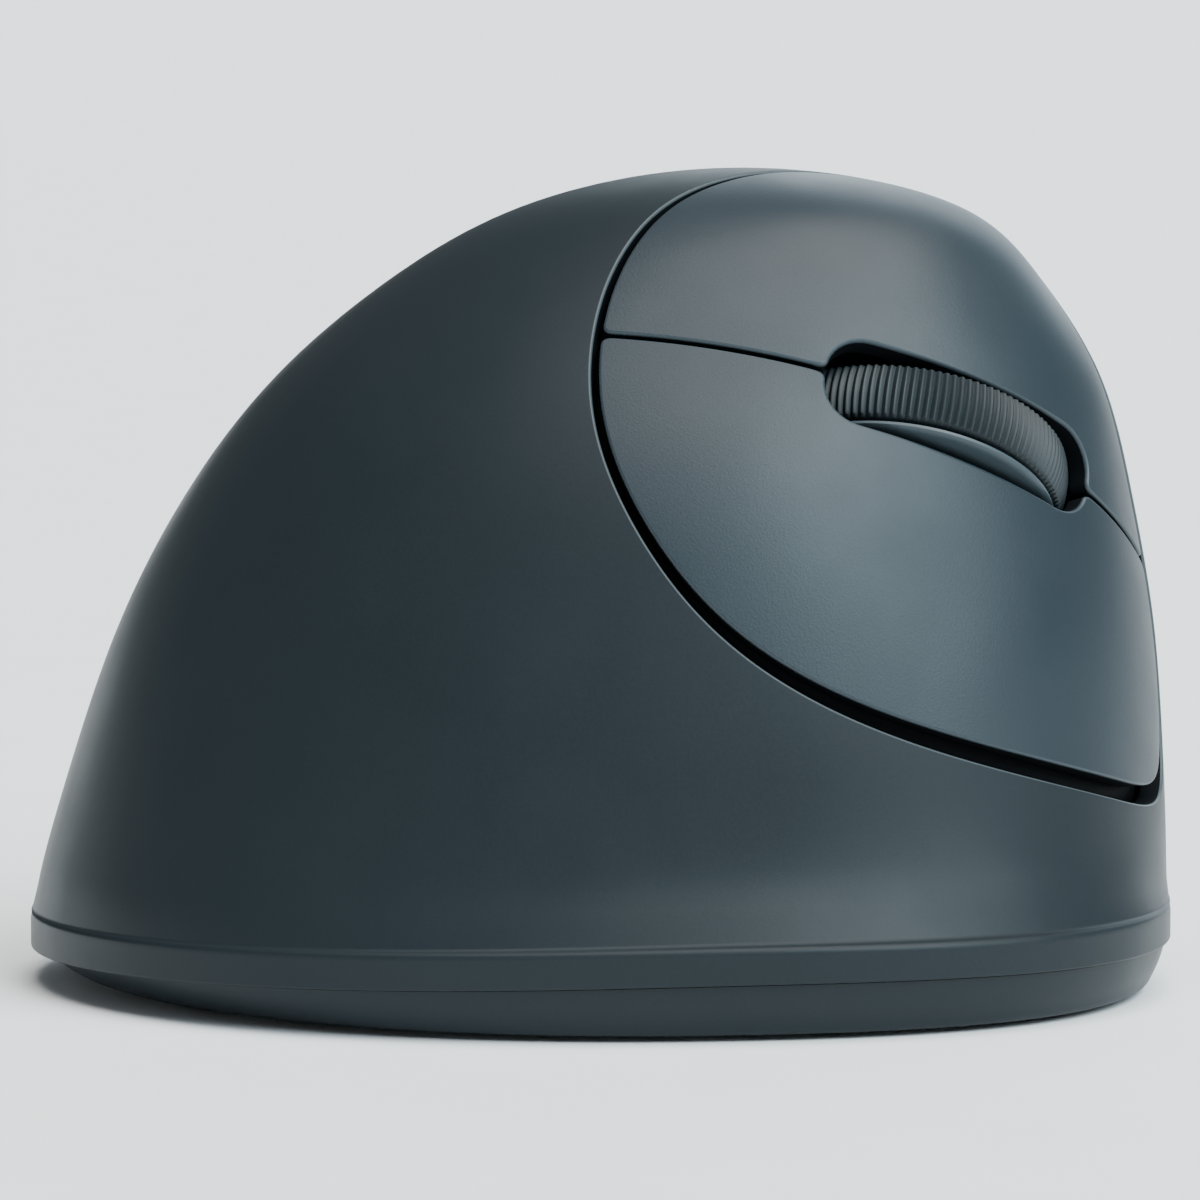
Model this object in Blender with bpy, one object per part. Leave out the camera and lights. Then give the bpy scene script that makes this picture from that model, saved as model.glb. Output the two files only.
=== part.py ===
"""Right-handed vertical computer mouse, wireless, as an assembly of separate parts.

Run with: blender --background --python part.py

Numbers are millimetres and become metres when a mesh is made. +Z is up, +Y is the way the
fingers point and +X is the finger side. The origin is under the middle of the body, on the desk.
"""

import math

import bmesh
import bpy
import numpy as np
from mathutils import Matrix, Vector

MM = 0.001
SHARP = math.radians(35)
# A small step of angle or depth for slopes, and the least length that has a direction.
STEP, NO_LENGTH = 1e-4, 1e-12

# ---------------------------------------------------------------- body skin
# The skin is a stack of level sections. Each row of SKIN_RADII is one section: its distance from
# the crest axis to the right, front right, front, front left, left, rear left, rear, rear right.
CREST_X, CREST_Y = -8.4, 11.5
TOP_Z = 68.0
RIM_Z = 6.8
SKIN_LEVELS = (68.0, 67.0, 64.5, 58.5, 50.5, 40.5, 29.5, 20.5, 14.0, 10.0, 8.0, 6.8)
SKIN_RADII = (
    (0.0, 0.0, 0.0, 0.0, 0.0, 0.0, 0.0, 0.0),
    (7.0, 8.9, 10.8, 7.3, 5.2, 7.0, 10.6, 8.2),
    (13.1, 15.8, 18.9, 13.5, 10.3, 13.5, 19.4, 15.5),
    (20.5, 22.1, 25.4, 19.1, 14.0, 19.8, 30.1, 24.8),
    (26.9, 27.2, 30.3, 22.9, 15.1, 23.4, 39.3, 33.5),
    (32.8, 31.4, 33.0, 25.0, 14.9, 25.7, 46.6, 41.0),
    (36.7, 35.0, 34.8, 26.3, 15.1, 28.1, 51.9, 46.8),
    (38.9, 37.1, 35.4, 27.4, 16.9, 30.6, 54.9, 50.4),
    (40.2, 38.6, 35.6, 29.0, 20.3, 33.8, 56.9, 52.7),
    (41.8, 40.0, 35.6, 31.0, 24.3, 36.5, 58.0, 54.2),
    (43.4, 41.2, 35.6, 32.4, 27.0, 38.3, 58.5, 55.1),
    (44.6, 42.2, 35.7, 33.1, 28.3, 39.2, 58.9, 55.6),
)
RIM_WAVE = (0.6, 0.4, 0.0, 0.0, 0.0, -0.7, -1.4, -0.5)
WALL = 2.0
BAND_HEIGHT = 2.7
SKIN_COLUMNS = 56
SKIN_ROWS = 18
LINING_COLUMNS = 44
LINING_ROWS = 14
MIDDLE_FLOOR_Z, LINING_FLOOR_Z = -4.0, -6.0

# ---------------------------------------------------------------- base plate
BASE_Z = 0.5
FLOOR = 1.8
SEAM = 0.3
TONGUE_WALL = 1.2
TONGUE_RISE = 2.0
# Insets of the base's rim, and the extra inset at the heel.
LIP_INSET, TONGUE_INSET, FLOOR_INSET = (0.4, 0.4), (2.4, 0.6), (3.8, 3.8)
# Side of the base from its top edge down: height, inset, and extra inset at the heel.
BASE_SIDE = ((2.5, 0.9, 0.7), (1.4, 1.4, 1.8), (0.7, 1.8, 3.6), (BASE_Z, 2.3, 5.2))

# ---------------------------------------------------------------- finger frame
# The buttons, wheel and switches are built in the frame of the finger face: p runs forward along
# the fingers, q up across them and n out of the face. Its origin is on the skin at the wheel.
FACE_ORIGIN = (12.35, 30.2, 48.6)
FACE_AZIMUTH = 34.0
FACE_ELEVATION = 25.5
FINGER_PITCH = -22.9
OUT_OF_FACE = 15.0

# Outline of the two buttons: a closed curve through these points, from the front edge over the
# top to the rear, the bottom and the corner at the lower front. The gap round it is narrow at the
# top and widens towards GAP_WIDEST, a direction in degrees seen from BUTTON_CENTRE.
BUTTON_CENTRE = (0.0, -2.0)
BUTTON_EDGE = (
    (26.0, -4.0), (20.0, 7.0), (13.0, 17.0), (2.0, 25.0), (-12.0, 24.5), (-23.5, 15.5),
    (-28.0, 1.5), (-25.7, -12.0), (-17.0, -22.5), (-4.5, -27.2), (9.5, -27.0), (22.5, -23.7),
    (30.0, -17.0),
)
BUTTON_GAP = (0.45, 1.6)
GAP_WIDEST = 300.0
BUTTON_POINTS = 48
BUTTON_DEPTH = 20.5
DIVIDER_AT_WHEEL = -0.1
DIVIDER_SLOPE = -0.035
DIVIDER_GAP = 0.45
DIVIDER_REACH = 60.0

# What stands inside a finger button: a post over its switch, a lug on the pin and a rib.
POST_RADIUS = 1.6
LUG_HALF, LUG_BELOW_PIN = 2.0, 1.8
INDEX_LUG_Q, MIDDLE_LUG_Q = (4.6, 7.8), (-9.0, -5.8)
RIB_Q, RIB_HALF = 12.4, 0.6
RIB_FROM_PIN, RIB_ABOVE_FOOT = 3.0, 0.8
INSIDE_TOP = 5.0

# Scroll wheel, its slot, and the carrier that lets it click.
WHEEL_P, WHEEL_N = 1.5, -11.2
WHEEL_RADIUS = 13.5
TYRE_WIDTH = 5.6
TYRE_DEPTH = 1.5
TYRE_CHAMFER = 0.7
HUB_RIM, HUB_WEB_END, HUB_WEB_HALF, HUB_BOSS = 9.9, 9.4, 1.2, 2.6
AXLE_RADIUS = 1.2
AXLE_END_Q = 5.6
FIT = 0.05
SLOT_P = (-11.2, 14.3)
SLOT_N = (-9.0, 6.0)
SLOT_HALF_WIDTH = 3.9
SLOT_CORNER = 3.3
CHEEK_Q = (3.7, 5.3)
CHEEK_HALF, CHEEK_ABOVE_AXLE = 3.4, 2.6
CARRIER_P = (-14.6, 19.0)
CARRIER_N = (-17.2, -13.6)
CARRIER_WELL_P = (-12.6, 15.4)
CARRIER_PIVOT_P, CARRIER_PIVOT_N = 17.2, -15.4
CARRIER_EARS_Q = ((-7.4, -5.9), (5.9, 7.4))
CARRIER_TAB_N = -14.7
TAB_LENGTH, TAB_HALF = 4.2, 2.4
ENCODER_Q = (-9.6, -5.6)
ENCODER_HALF, ENCODER_ABOVE_AXLE = 5.5, 5.2
ROTOR_Q, ROTOR_RADIUS = (-9.0, -6.2), 3.0

# Levels of the button board and of the bracket that carries it.
BOARD_TOP = -18.0
BOARD_THICK = 1.2
BOARD_WELL_HALF = (12.8, 3.4)
BRACKET_N = (-21.4, -19.8)
BOARD_OUTLINE = (
    (-24.5, -17.0), (13.0, -17.0), (19.0, -9.5), (19.0, 8.0),
    (7.0, 17.4), (-16.0, 17.4), (-24.5, 9.0),
)
HINGE_P, HINGE_N = -22.0, -15.5
PIN_RADIUS = 0.8
RUNNING = 0.1
EAR_HALF = 1.4
EARS_Q = ((-12.5, -10.5), (-1.2, 1.2), (9.3, 11.3))
SWITCH_SIZE = (12.8, 5.8, 6.5)
SWITCH_FOOT = 0.3
PLUNGER_RISE = 0.9
PLUNGER_RADIUS = 1.1
INDEX_SWITCH = (0.0, 14.3)
MIDDLE_SWITCH = (2.0, -13.4)
PLUNGER_OFFSET_P = 2.0
PLUNGER_SUNK, PLUNGER_ROOM = 0.5, 0.7
WHEEL_SWITCH, WHEEL_SWITCH_SIZE = (-17.9, 0.0), (4.0, 4.4, 2.0)
WHEEL_PLUNGER_RADIUS = 1.0
TOUCH = 0.1

# ---------------------------------------------------------------- thumb side
THUMB_CENTRE_Y, THUMB_HALF_LENGTH, THUMB_TOP_Z, THUMB_POWER = 3.0, 37.0, 55.0, 2.6
THUMB_FOOT_Z = -20.0
THUMB_SEAM = 0.4
THUMB_INNER_X = -10.9
THUMB_OUTER_X = -70.0
KEY_OUTER_X = -40.0
THUMB_Z = (40.0, 46.6)
BACK_Y, FORWARD_Y = (-10.0, 7.3), (7.7, 25.0)
THUMB_CORNER = 3.0
THUMB_GAP = 0.35
THUMB_PROUD = 0.8
THUMB_POST_RADIUS = 1.5
THUMB_BOARD_X = (-15.1, -13.9)
TACT_SIDE = 6.0
TACT_RISE = 3.0
TACT_PLUNGER = 0.7
TACT_PLUNGER_RADIUS = 1.6

# ---------------------------------------------------------------- inside the base
PCB_X, PCB_Y, PCB_Z = (-3.3, 23.1), (-22.6, 25.0), (6.4, 7.6)
PCB_POSTS = ((18.1, -19.5), (20.1, 21.0), (-0.4, -19.5))
PCB_POST_RADIUS = 2.0
SUNK = 0.6
SENSOR_AT = (3.6, 14.0)
OPTICS_HALF, OPTICS_CORNER = (4.0, 7.0), 2.5
WEB_X, WEB_Y = (3.5, 14.7), (0.6, 3.2)
FRONT_LEG, FRONT_LEG_HALF = (0.2, 27.7), (2.4, 1.6)
BRACKET_FEET = ((9.1, 4.2), (9.1, -0.4), (3.8, 27.7))
BRACKET_FOOT_HALF, BRACKET_FOOT_THICK = 1.9, 1.4
BATTERY_X, BATTERY_Y, BATTERY_Z = -12.4, (-22.0, 28.5), 10.6
BATTERY_RADIUS = 7.25
CAP_RADIUS, CAP_LENGTH = 2.7, 1.2
HOLDER_X, HOLDER_Y, HOLDER_TOP = (-21.1, -3.7), (-29.0, 31.2), 19.4
HOLDER_WALL = 1.0
DOOR_GAP = 0.3
DOOR_X, DOOR_Y = (-20.5, -4.3), (-27.6, 29.8)
DOOR_THICK = 1.4
GRIP_COUNT, GRIP_PITCH, GRIP_WIDTH, GRIP_HALF, GRIP_FROM_END = 3, 1.6, 0.7, 4.0, 4.0
GRIP_DEPTH = 0.5
POWER_AT, POWER_TRAVEL = (14.1, -14.0), 3.0
POWER_HOLE_HALF = (1.9, 4.6)
POWER_SWITCH_HALF = (2.2, 4.4)
SLIDER_TOP = 3.5
SLIDER_HALF, SLIDER_FLANGE_HALF_Y = (1.6, 2.6), 2.4
RIDGE_PITCH, RIDGE_HALF = 1.3, 0.3
DPI_AT, DPI_RADIUS = (3.6, -14.0), 2.6
DPI_TOP, DPI_SWITCH_Z = 3.8, 4.8
DPI_SWITCH_SIDE = 4.8
FLANGE, FLANGE_DROP = 1.0, 0.1
RECEIVER_AT = (5.6, -30.5)
SLEEVE_HALF, SLEEVE_TOP = (8.6, 4.2), 13.0
BAY_HALF, BAY_TOP = (7.5, 3.2), 11.8
PLUG_BAY_HALF, PLUG_BAY_Z = (6.5, 2.7), (10.0, 15.0)
GRIP_PART_HALF, GRIP_PART_TOP = (7.2, 2.9), 6.4
PLUG_HALF, PLUG_Z = (6.0, 2.25), (6.7, 18.5)
PLUG_HOLLOW_HALF, PLUG_HOLLOW_Y, PLUG_HOLLOW_Z = 5.6, (-1.85, 0.1), (9.5, 20.0)
BOSS_TOP, BOSS_RADIUS, BOSS_ABOVE_FLOOR = 24.0, 2.9, 1.6
PILOT_RADIUS, PILOT_Z = 1.2, (-5.0, 14.0)
CASE_SCREWS = {
    "front_right": (28.1, 14.0), "rear_right": (21.6, -26.0),
    "front_left": (-26.9, 14.0), "rear_left": (-24.9, -13.0),
}
HEAD_HOLE_RADIUS, HEAD_HOLE_DEPTH, SHANK_HOLE_RADIUS = 2.9, 1.0, 1.5
HEAD_RADIUS, HEAD_HEIGHT, SHANK_RADIUS, SCREW_LENGTH = 2.4, 0.9, 1.1, 9.5
# Centre, half lengths across and along, and turn in degrees of each glide foot.
FEET = {
    "front": (19.0, 27.0, 8.0, 3.2, -40.0), "right": (22.1, -13.0, 3.0, 7.0, 0.0),
    "left": (-27.9, 0.0, 2.6, 9.0, 4.0), "rear": (-10.4, -34.5, 7.0, 2.6, 4.0),
}
FOOT_ROUNDNESS = 0.98
THROUGH_FLOOR = (-2.0, 5.0)

# Colour, roughness and metallic value of each material.
COLOURS = {
    "shell": ((0.035, 0.042, 0.047), 0.45, 0.0),
    "button": ((0.04, 0.047, 0.053), 0.42, 0.0),
    "rubber": ((0.022, 0.026, 0.029), 0.7, 0.0),
    "hub": ((0.05, 0.06, 0.065), 0.4, 0.0),
    "frame": ((0.02, 0.02, 0.022), 0.5, 0.0),
    "switch": ((0.03, 0.03, 0.03), 0.35, 0.0),
    "plunger": ((0.6, 0.05, 0.04), 0.35, 0.0),
    "board": ((0.02, 0.14, 0.06), 0.45, 0.0),
    "chip": ((0.015, 0.015, 0.016), 0.3, 0.0),
    "lens": ((0.8, 0.85, 0.88), 0.05, 0.0),
    "steel": ((0.62, 0.62, 0.64), 0.25, 1.0),
    "battery": ((0.12, 0.12, 0.13), 0.3, 0.6),
    "glide": ((0.75, 0.75, 0.76), 0.35, 0.0),
    "ribbon": ((0.75, 0.76, 0.74), 0.4, 0.0),
}


# ================================================================ splines
def natural_spline(knots, rows, at):
    """Natural cubic spline through rows at the rising knots, read at each value of at."""
    knots, rows, at = np.asarray(knots), np.asarray(rows), np.asarray(at)
    count, step = len(knots), np.diff(knots)
    system, right = np.eye(count), np.zeros_like(rows)
    for i in range(1, count - 1):
        system[i, i - 1:i + 2] = step[i - 1], 2 * (step[i - 1] + step[i]), step[i]
        right[i] = 6 * ((rows[i + 1] - rows[i]) / step[i] - (rows[i] - rows[i - 1]) / step[i - 1])
    bend = np.linalg.solve(system, right)
    i = np.clip(np.searchsorted(knots, at) - 1, 0, count - 2)
    span = step[i][:, None]
    before = (knots[i + 1] - at)[:, None] / span
    after = (at - knots[i])[:, None] / span
    curve = (before**3 - before) * bend[i] + (after**3 - after) * bend[i + 1]
    return rows[i] * before + rows[i + 1] * after + curve * span**2 / 6


def periodic_spline(values, angles):
    """Closed cubic spline through values spaced evenly round a turn; values may be rows."""
    values = np.asarray(values, float)
    count = len(values)
    ring = 4 * np.eye(count) + np.roll(np.eye(count), 1, 0) + np.roll(np.eye(count), -1, 0)
    bend = np.linalg.solve(ring, 6 * (np.roll(values, -1, 0) - 2 * values + np.roll(values, 1, 0)))
    turn = np.asarray(angles) / math.tau * count
    i = np.floor(turn).astype(int) % count
    j = (i + 1) % count
    after = (turn - np.floor(turn)).reshape((-1,) + (1,) * (values.ndim - 1))
    before = 1 - after
    curve = (before**3 - before) * bend[i] + (after**3 - after) * bend[j]
    return values[i] * before + values[j] * after + curve / 6


# ================================================================ body skin
def skin_points(angles, depths):
    """Points of the skin, one row per depth: 0 is the top of the crest and 1 is the rim."""
    angles, depths = np.asarray(angles, float), np.asarray(depths, float)
    knots = np.sqrt((TOP_Z - np.array(SKIN_LEVELS)) / (TOP_Z - RIM_Z))
    radii = periodic_spline(natural_spline(knots, SKIN_RADII, depths).T, angles).T
    rim = RIM_Z + periodic_spline(RIM_WAVE, angles)
    z = TOP_Z - (TOP_Z - rim)[None, :] * depths[:, None] ** 2
    return np.stack([CREST_X + radii * np.cos(angles), CREST_Y + radii * np.sin(angles), z], -1)


def skin_offset(angles, depths, inset):
    """The skin moved inwards by inset along its own normals."""
    angles, depths = np.asarray(angles), np.asarray(depths)
    points = skin_points(angles, depths)
    along = skin_points(angles + STEP, depths) - skin_points(angles - STEP, depths)
    low, high = np.clip(depths - STEP, 0, 1), np.clip(depths + STEP, 0, 1)
    down = skin_points(angles, high) - skin_points(angles, low)
    normal = np.cross(down, along)
    length = np.linalg.norm(normal, axis=-1, keepdims=True)
    normal = np.where(length > NO_LENGTH, normal / np.maximum(length, NO_LENGTH), [0.0, 0.0, 1.0])
    return points - inset * normal


def even_angles(count):
    return np.arange(count) * math.tau / count


def outward_of(along):
    """Unit vectors to the right of the rows of along, which is outwards on a left-handed turn."""
    out = np.stack([along[:, 1], -along[:, 0]], -1)
    return out / np.linalg.norm(out, axis=1, keepdims=True)


def rim_outline(angles, inset=0.0, heel=0.0):
    """The rim seen from above, moved inwards by inset, and by heel more towards the rear."""
    here, before, after = (skin_points(angles + turn, [1.0])[0][:, :2] for turn in (0, -STEP, STEP))
    rearward = np.clip(-np.sin(angles), 0, 1) ** 2
    return here - outward_of(after - before) * (inset + heel * rearward)[:, None]


def level_ring(outline, z):
    return np.column_stack([outline, np.broadcast_to(z, len(outline))])


# ================================================================ making objects
def material(slot):
    made = bpy.data.materials.get(slot)
    if made is None:
        colour, roughness, metallic = COLOURS[slot]
        made = bpy.data.materials.new(slot)
        made.use_nodes = True
        shader = made.node_tree.nodes["Principled BSDF"]
        shader.inputs["Base Color"].default_value = (*colour, 1.0)
        shader.inputs["Roughness"].default_value = roughness
        shader.inputs["Metallic"].default_value = metallic
    return made


def put(name, mesh, slot, frame=None):
    """Links mesh, whose points are already in metres, as an object placed by frame."""
    thing = bpy.data.objects.new(name, mesh)
    bpy.context.scene.collection.objects.link(thing)
    mesh.materials.clear()
    mesh.materials.append(material(slot))
    if frame is not None:
        thing.matrix_world = frame
    return thing


def mesh_of(work):
    bmesh.ops.recalc_face_normals(work, faces=work.faces)
    mesh = bpy.data.meshes.new("mesh")
    work.to_mesh(mesh)
    work.free()
    mesh.shade_smooth()
    mesh.set_sharp_from_angle(angle=SHARP)
    return mesh


def loft(name, rings, slot, frame=None):
    """A closed solid through rings of equally many points; a ring of one point is a pole."""
    work = bmesh.new()
    loops = [[work.verts.new(Vector(p) * MM) for p in ring] for ring in rings]
    for lower, upper in zip(loops, loops[1:]):
        count = max(len(lower), len(upper))
        for i in range(count):
            here = [loop[i % len(loop)] for loop in (lower, upper)]
            there = [loop[(i + 1) % count % len(loop)] for loop in (upper, lower)]
            work.faces.new(list(dict.fromkeys([here[0], there[1], there[0], here[1]])))
    for end in (loops[0], loops[-1]):
        if len(end) > 2:
            work.faces.new(end)
    return put(name, mesh_of(work), slot, frame)


def prism(name, outline, z, slot, frame=None):
    """An outline in the frame's XY plane, extruded from z[0] to z[1]."""
    return loft(name, [[(x, y, level) for x, y in outline] for level in z], slot, frame)


def span(centre, half):
    return (centre - half, centre + half)


def box(name, x, y, z, slot, frame=None, bevel=0.0):
    """A block, with its four edges along Z rounded by bevel."""
    outline = [(x[0], y[0]), (x[1], y[0]), (x[1], y[1]), (x[0], y[1])]
    if bevel:
        outline = rounded_rectangle(x, y, bevel, 2)
    return prism(name, outline, z, slot, frame)


def circle(centre, radius, points):
    return [(centre[0] + radius * math.cos(a), centre[1] + radius * math.sin(a))
            for a in even_angles(points)]


def rounded_rectangle(x, y, corner, points=5):
    """Outline of the rectangle x by y with round corners of points each."""
    outline = []
    inner_x, inner_y = (x[0] + corner, x[1] - corner), (y[0] + corner, y[1] - corner)
    for right, front, start in ((1, 1, 0), (0, 1, 90), (0, 0, 180), (1, 0, 270)):
        for k in range(points):
            a = math.radians(start + 90 * k / (points - 1))
            outline.append((inner_x[right] + corner * math.cos(a), inner_y[front] + corner * math.sin(a)))
    return outline


def cylinder(name, centre, radius, z, slot, frame=None, points=20):
    return prism(name, circle(centre, radius, points), z, slot, frame)


def turned_ring(name, profile, slot, frame=None, points=40):
    """A ring turned round the frame's Z axis from a closed profile of (radius, height)."""
    work = bmesh.new()
    rows = [[work.verts.new(Vector((r * math.cos(a), r * math.sin(a), z)) * MM) for r, z in profile]
            for a in even_angles(points)]
    for i in range(points):
        here, there = rows[i], rows[(i + 1) % points]
        for k in range(len(profile)):
            m = (k + 1) % len(profile)
            work.faces.new((here[k], there[k], there[m], here[m]))
    return put(name, mesh_of(work), slot, frame)


def turned_bar(name, profile, slot, frame, points):
    """A solid turned round the frame's Z axis from (radius, height) rows that start and end at 0."""
    rings = []
    for r, z in profile:
        ring = [(r * math.cos(a), r * math.sin(a), z) for a in even_angles(points)]
        rings.append(ring if r else [(0.0, 0.0, z)])
    return loft(name, rings, slot, frame)


def boolean(target, tool, operation, keep=False):
    """Applies a Boolean at once, so that the object holds only its final mesh."""
    modifier = target.modifiers.new(operation, "BOOLEAN")
    modifier.operation = operation
    modifier.object = tool
    modifier.solver = "EXACT"
    bpy.context.view_layer.update()
    graph = bpy.context.evaluated_depsgraph_get()
    done = bpy.data.meshes.new_from_object(target.evaluated_get(graph))
    target.modifiers.clear()
    target.data = done
    if not keep:
        bpy.data.objects.remove(tool)
    return target


def cut(target, tool, keep=False):
    return boolean(target, tool, "DIFFERENCE", keep)


def join(target, tool):
    return boolean(target, tool, "UNION")


def trim(target, tool, keep=False):
    return boolean(target, tool, "INTERSECT", keep)


def copy(source, name):
    twin = source.copy()
    twin.data = source.data.copy()
    twin.name = name
    bpy.context.scene.collection.objects.link(twin)
    return twin


def set_origin(thing, frame):
    """Moves an object's origin and axes to frame and leaves its shape where it is."""
    bpy.context.view_layer.update()
    thing.data.transform(frame.inverted() @ thing.matrix_world)
    thing.matrix_world = frame
    return thing


def frame_at(origin, x_axis, y_axis, z_axis):
    """A placing matrix from an origin in millimetres and three axes."""
    frame = Matrix((x_axis, y_axis, z_axis)).transposed().to_4x4()
    frame.translation = Vector(origin) * MM
    return frame


def moved_to(x, y, z):
    return Matrix.Translation(Vector((x, y, z)) * MM)


# ================================================================ frames
def face_axes():
    """The finger frame's p, q and n directions."""
    azimuth, elevation = math.radians(FACE_AZIMUTH), math.radians(FACE_ELEVATION)
    pitch = math.radians(FINGER_PITCH)
    flat = Vector((math.cos(azimuth), math.sin(azimuth), 0.0))
    out = flat * math.cos(elevation) + Vector((0.0, 0.0, math.sin(elevation)))
    level = Vector((-math.sin(azimuth), math.cos(azimuth), 0.0))
    forward = level * math.cos(pitch) + out.cross(level) * math.sin(pitch)
    return forward, out.cross(forward), out


FORWARD, UPWARD, OUTWARD = face_axes()
FACE = frame_at(FACE_ORIGIN, FORWARD, UPWARD, OUTWARD)


def face_point(p, q, n):
    """A point of the finger frame, in millimetres of the body's own frame."""
    return Vector(FACE_ORIGIN) + FORWARD * p + UPWARD * q + OUTWARD * n


def level_with_face(p, q, n):
    """A frame at a point of the finger frame, with that frame's own axes."""
    return frame_at(face_point(p, q, n), FORWARD, UPWARD, OUTWARD)


def across_face(p, q, n):
    """A frame at a point of the finger frame whose Z axis runs along q, as an axle does."""
    return frame_at(face_point(p, q, n), OUTWARD, FORWARD, UPWARD)


def thumb_frame(x=0.0, y=0.0, z=0.0):
    """A frame whose X is forward, Y is up and Z is inwards from the thumb side."""
    return frame_at((x, y, z), Vector((0, 1, 0)), Vector((0, 0, 1)), Vector((1, 0, 0)))


# ================================================================ shells
def skin_rings(inset, columns, rows):
    """The skin's rings from the crest's pole to the rim, moved inwards by inset."""
    depths = np.sin(np.linspace(0, math.pi / 2, rows + 1))
    grid = skin_offset(even_angles(columns), depths, inset)
    return [grid[0][:1]] + list(grid[1:])


def dome(name, inset, floor_z):
    """The body as one solid, its skin moved inwards by inset, standing on floor_z."""
    rings = skin_rings(inset, LINING_COLUMNS, LINING_ROWS)
    return loft(name, rings + [level_ring(rings[-1][:, :2], floor_z)], "shell")


def outer_dome():
    """The skin down to the rim's crisp edge, then the upright band under it."""
    rings = skin_rings(0.0, SKIN_COLUMNS, SKIN_ROWS)
    rim = rings[-1]
    return loft("outer", rings + [level_ring(rim[:, :2], rim[:, 2] - BAND_HEIGHT)], "shell")


def button_outline(gap_share):
    """Outline of both buttons; gap_share 0.5 is the opening's edge and -0.5 the buttons' edge."""
    angles = even_angles(BUTTON_POINTS)
    edge, before, after = (periodic_spline(BUTTON_EDGE, angles + turn) for turn in (0, -STEP, STEP))
    seen = edge - BUTTON_CENTRE
    turn = np.arctan2(seen[:, 1], seen[:, 0]) - math.radians(GAP_WIDEST)
    gap = BUTTON_GAP[0] + (BUTTON_GAP[1] - BUTTON_GAP[0]) * np.cos(turn / 2) ** 4
    return [(p, q) for p, q in edge + outward_of(after - before) * (gap_share * gap)[:, None]]


def divider_side(name, above):
    """A block in the finger frame that covers one side of the line between the buttons."""
    side = 1.0 if above else -1.0
    reach = DIVIDER_REACH
    outline = [(p, DIVIDER_AT_WHEEL + DIVIDER_SLOPE * p + side * DIVIDER_GAP / 2) for p in (-reach, reach)]
    outline += [(reach, side * reach), (-reach, side * reach)]
    return prism(name, outline, (-BUTTON_DEPTH - 5, OUT_OF_FACE), "button", FACE)


def wheel_slot(name):
    outline = rounded_rectangle(SLOT_P, (-SLOT_HALF_WIDTH, SLOT_HALF_WIDTH), SLOT_CORNER)
    return prism(name, outline, SLOT_N, "button", FACE)


def make_button(name, blank, above, switch, middle_solid):
    """One finger button: its patch of skin, a post over its switch and a lug round the hinge pin."""
    button = copy(blank, name)
    trim(button, divider_side("side", above))
    cut(button, wheel_slot("slot"))
    post_p, post_q = switch[0] + PLUNGER_OFFSET_P, switch[1]
    post_foot = BOARD_TOP + SWITCH_FOOT + SWITCH_SIZE[2] + PLUNGER_RISE + TOUCH
    post = cylinder("post", (post_p, post_q), POST_RADIUS, (post_foot, INSIDE_TOP), "button", FACE, 16)
    lug_q = INDEX_LUG_Q if above else MIDDLE_LUG_Q
    lug_n = (HINGE_N - LUG_BELOW_PIN, INSIDE_TOP)
    lug = box("lug", span(HINGE_P, LUG_HALF), lug_q, lug_n, "button", FACE)
    rib_p, rib_n = (HINGE_P + RIB_FROM_PIN, post_p), (post_foot + RIB_ABOVE_FOOT, INSIDE_TOP)
    rib = box("rib", rib_p, span(RIB_Q if above else -RIB_Q, RIB_HALF), rib_n, "button", FACE)
    for tool in (post, lug, rib):
        join(button, trim(tool, middle_solid, keep=True))
    axis = across_face(HINGE_P, 0, HINGE_N)
    cut(button, cylinder("bore", (0, 0), PIN_RADIUS + RUNNING, (-20, 20), "button", axis, 16))
    return set_origin(button, axis)


def thumb_arch(grow):
    """The thumb panel's outline, forward by up, as an arch that runs below the rim."""
    half, top = THUMB_HALF_LENGTH + grow, THUMB_TOP_Z + grow
    outline = [(THUMB_CENTRE_Y + half, THUMB_FOOT_Z)]
    for a in np.linspace(0, math.pi, 29):
        y = math.copysign(abs(math.cos(a)) ** (2 / THUMB_POWER), math.cos(a))
        outline.append((THUMB_CENTRE_Y + half * y, top * math.sin(a) ** (2 / THUMB_POWER)))
    return outline + [(THUMB_CENTRE_Y - half, THUMB_FOOT_Z)]


def thumb_side(name, outline, outer_x=KEY_OUTER_X):
    """A block over the thumb side, from outside the skin in to THUMB_INNER_X."""
    return prism(name, outline, (outer_x, THUMB_INNER_X), "shell", thumb_frame())


def thumb_button(name, blank, y, middle_solid):
    """A thumb button: its patch of skin standing a little proud, with a post on its switch."""
    button = copy(blank, name)
    trim(button, thumb_side("key", rounded_rectangle(y, THUMB_Z, THUMB_CORNER)))
    middle = (sum(y) / 2, sum(THUMB_Z) / 2)
    switch_top = THUMB_BOARD_X[0] - TACT_RISE - TACT_PLUNGER - TOUCH
    post_x = (KEY_OUTER_X, switch_top + THUMB_PROUD)
    post = cylinder("post", middle, THUMB_POST_RADIUS, post_x, "button", thumb_frame(), 16)
    join(button, trim(post, middle_solid, keep=True))
    button.data.transform(moved_to(-THUMB_PROUD, 0, 0))
    button.data.materials.clear()
    button.data.materials.append(material("button"))
    return set_origin(button, thumb_frame(switch_top, *middle))


def screw_boss(name, at, middle_solid):
    z = (BASE_Z + FLOOR + BOSS_ABOVE_FLOOR, BOSS_TOP)
    return trim(cylinder(name, at, BOSS_RADIUS, z, "shell", None, 16), middle_solid, keep=True)


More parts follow.
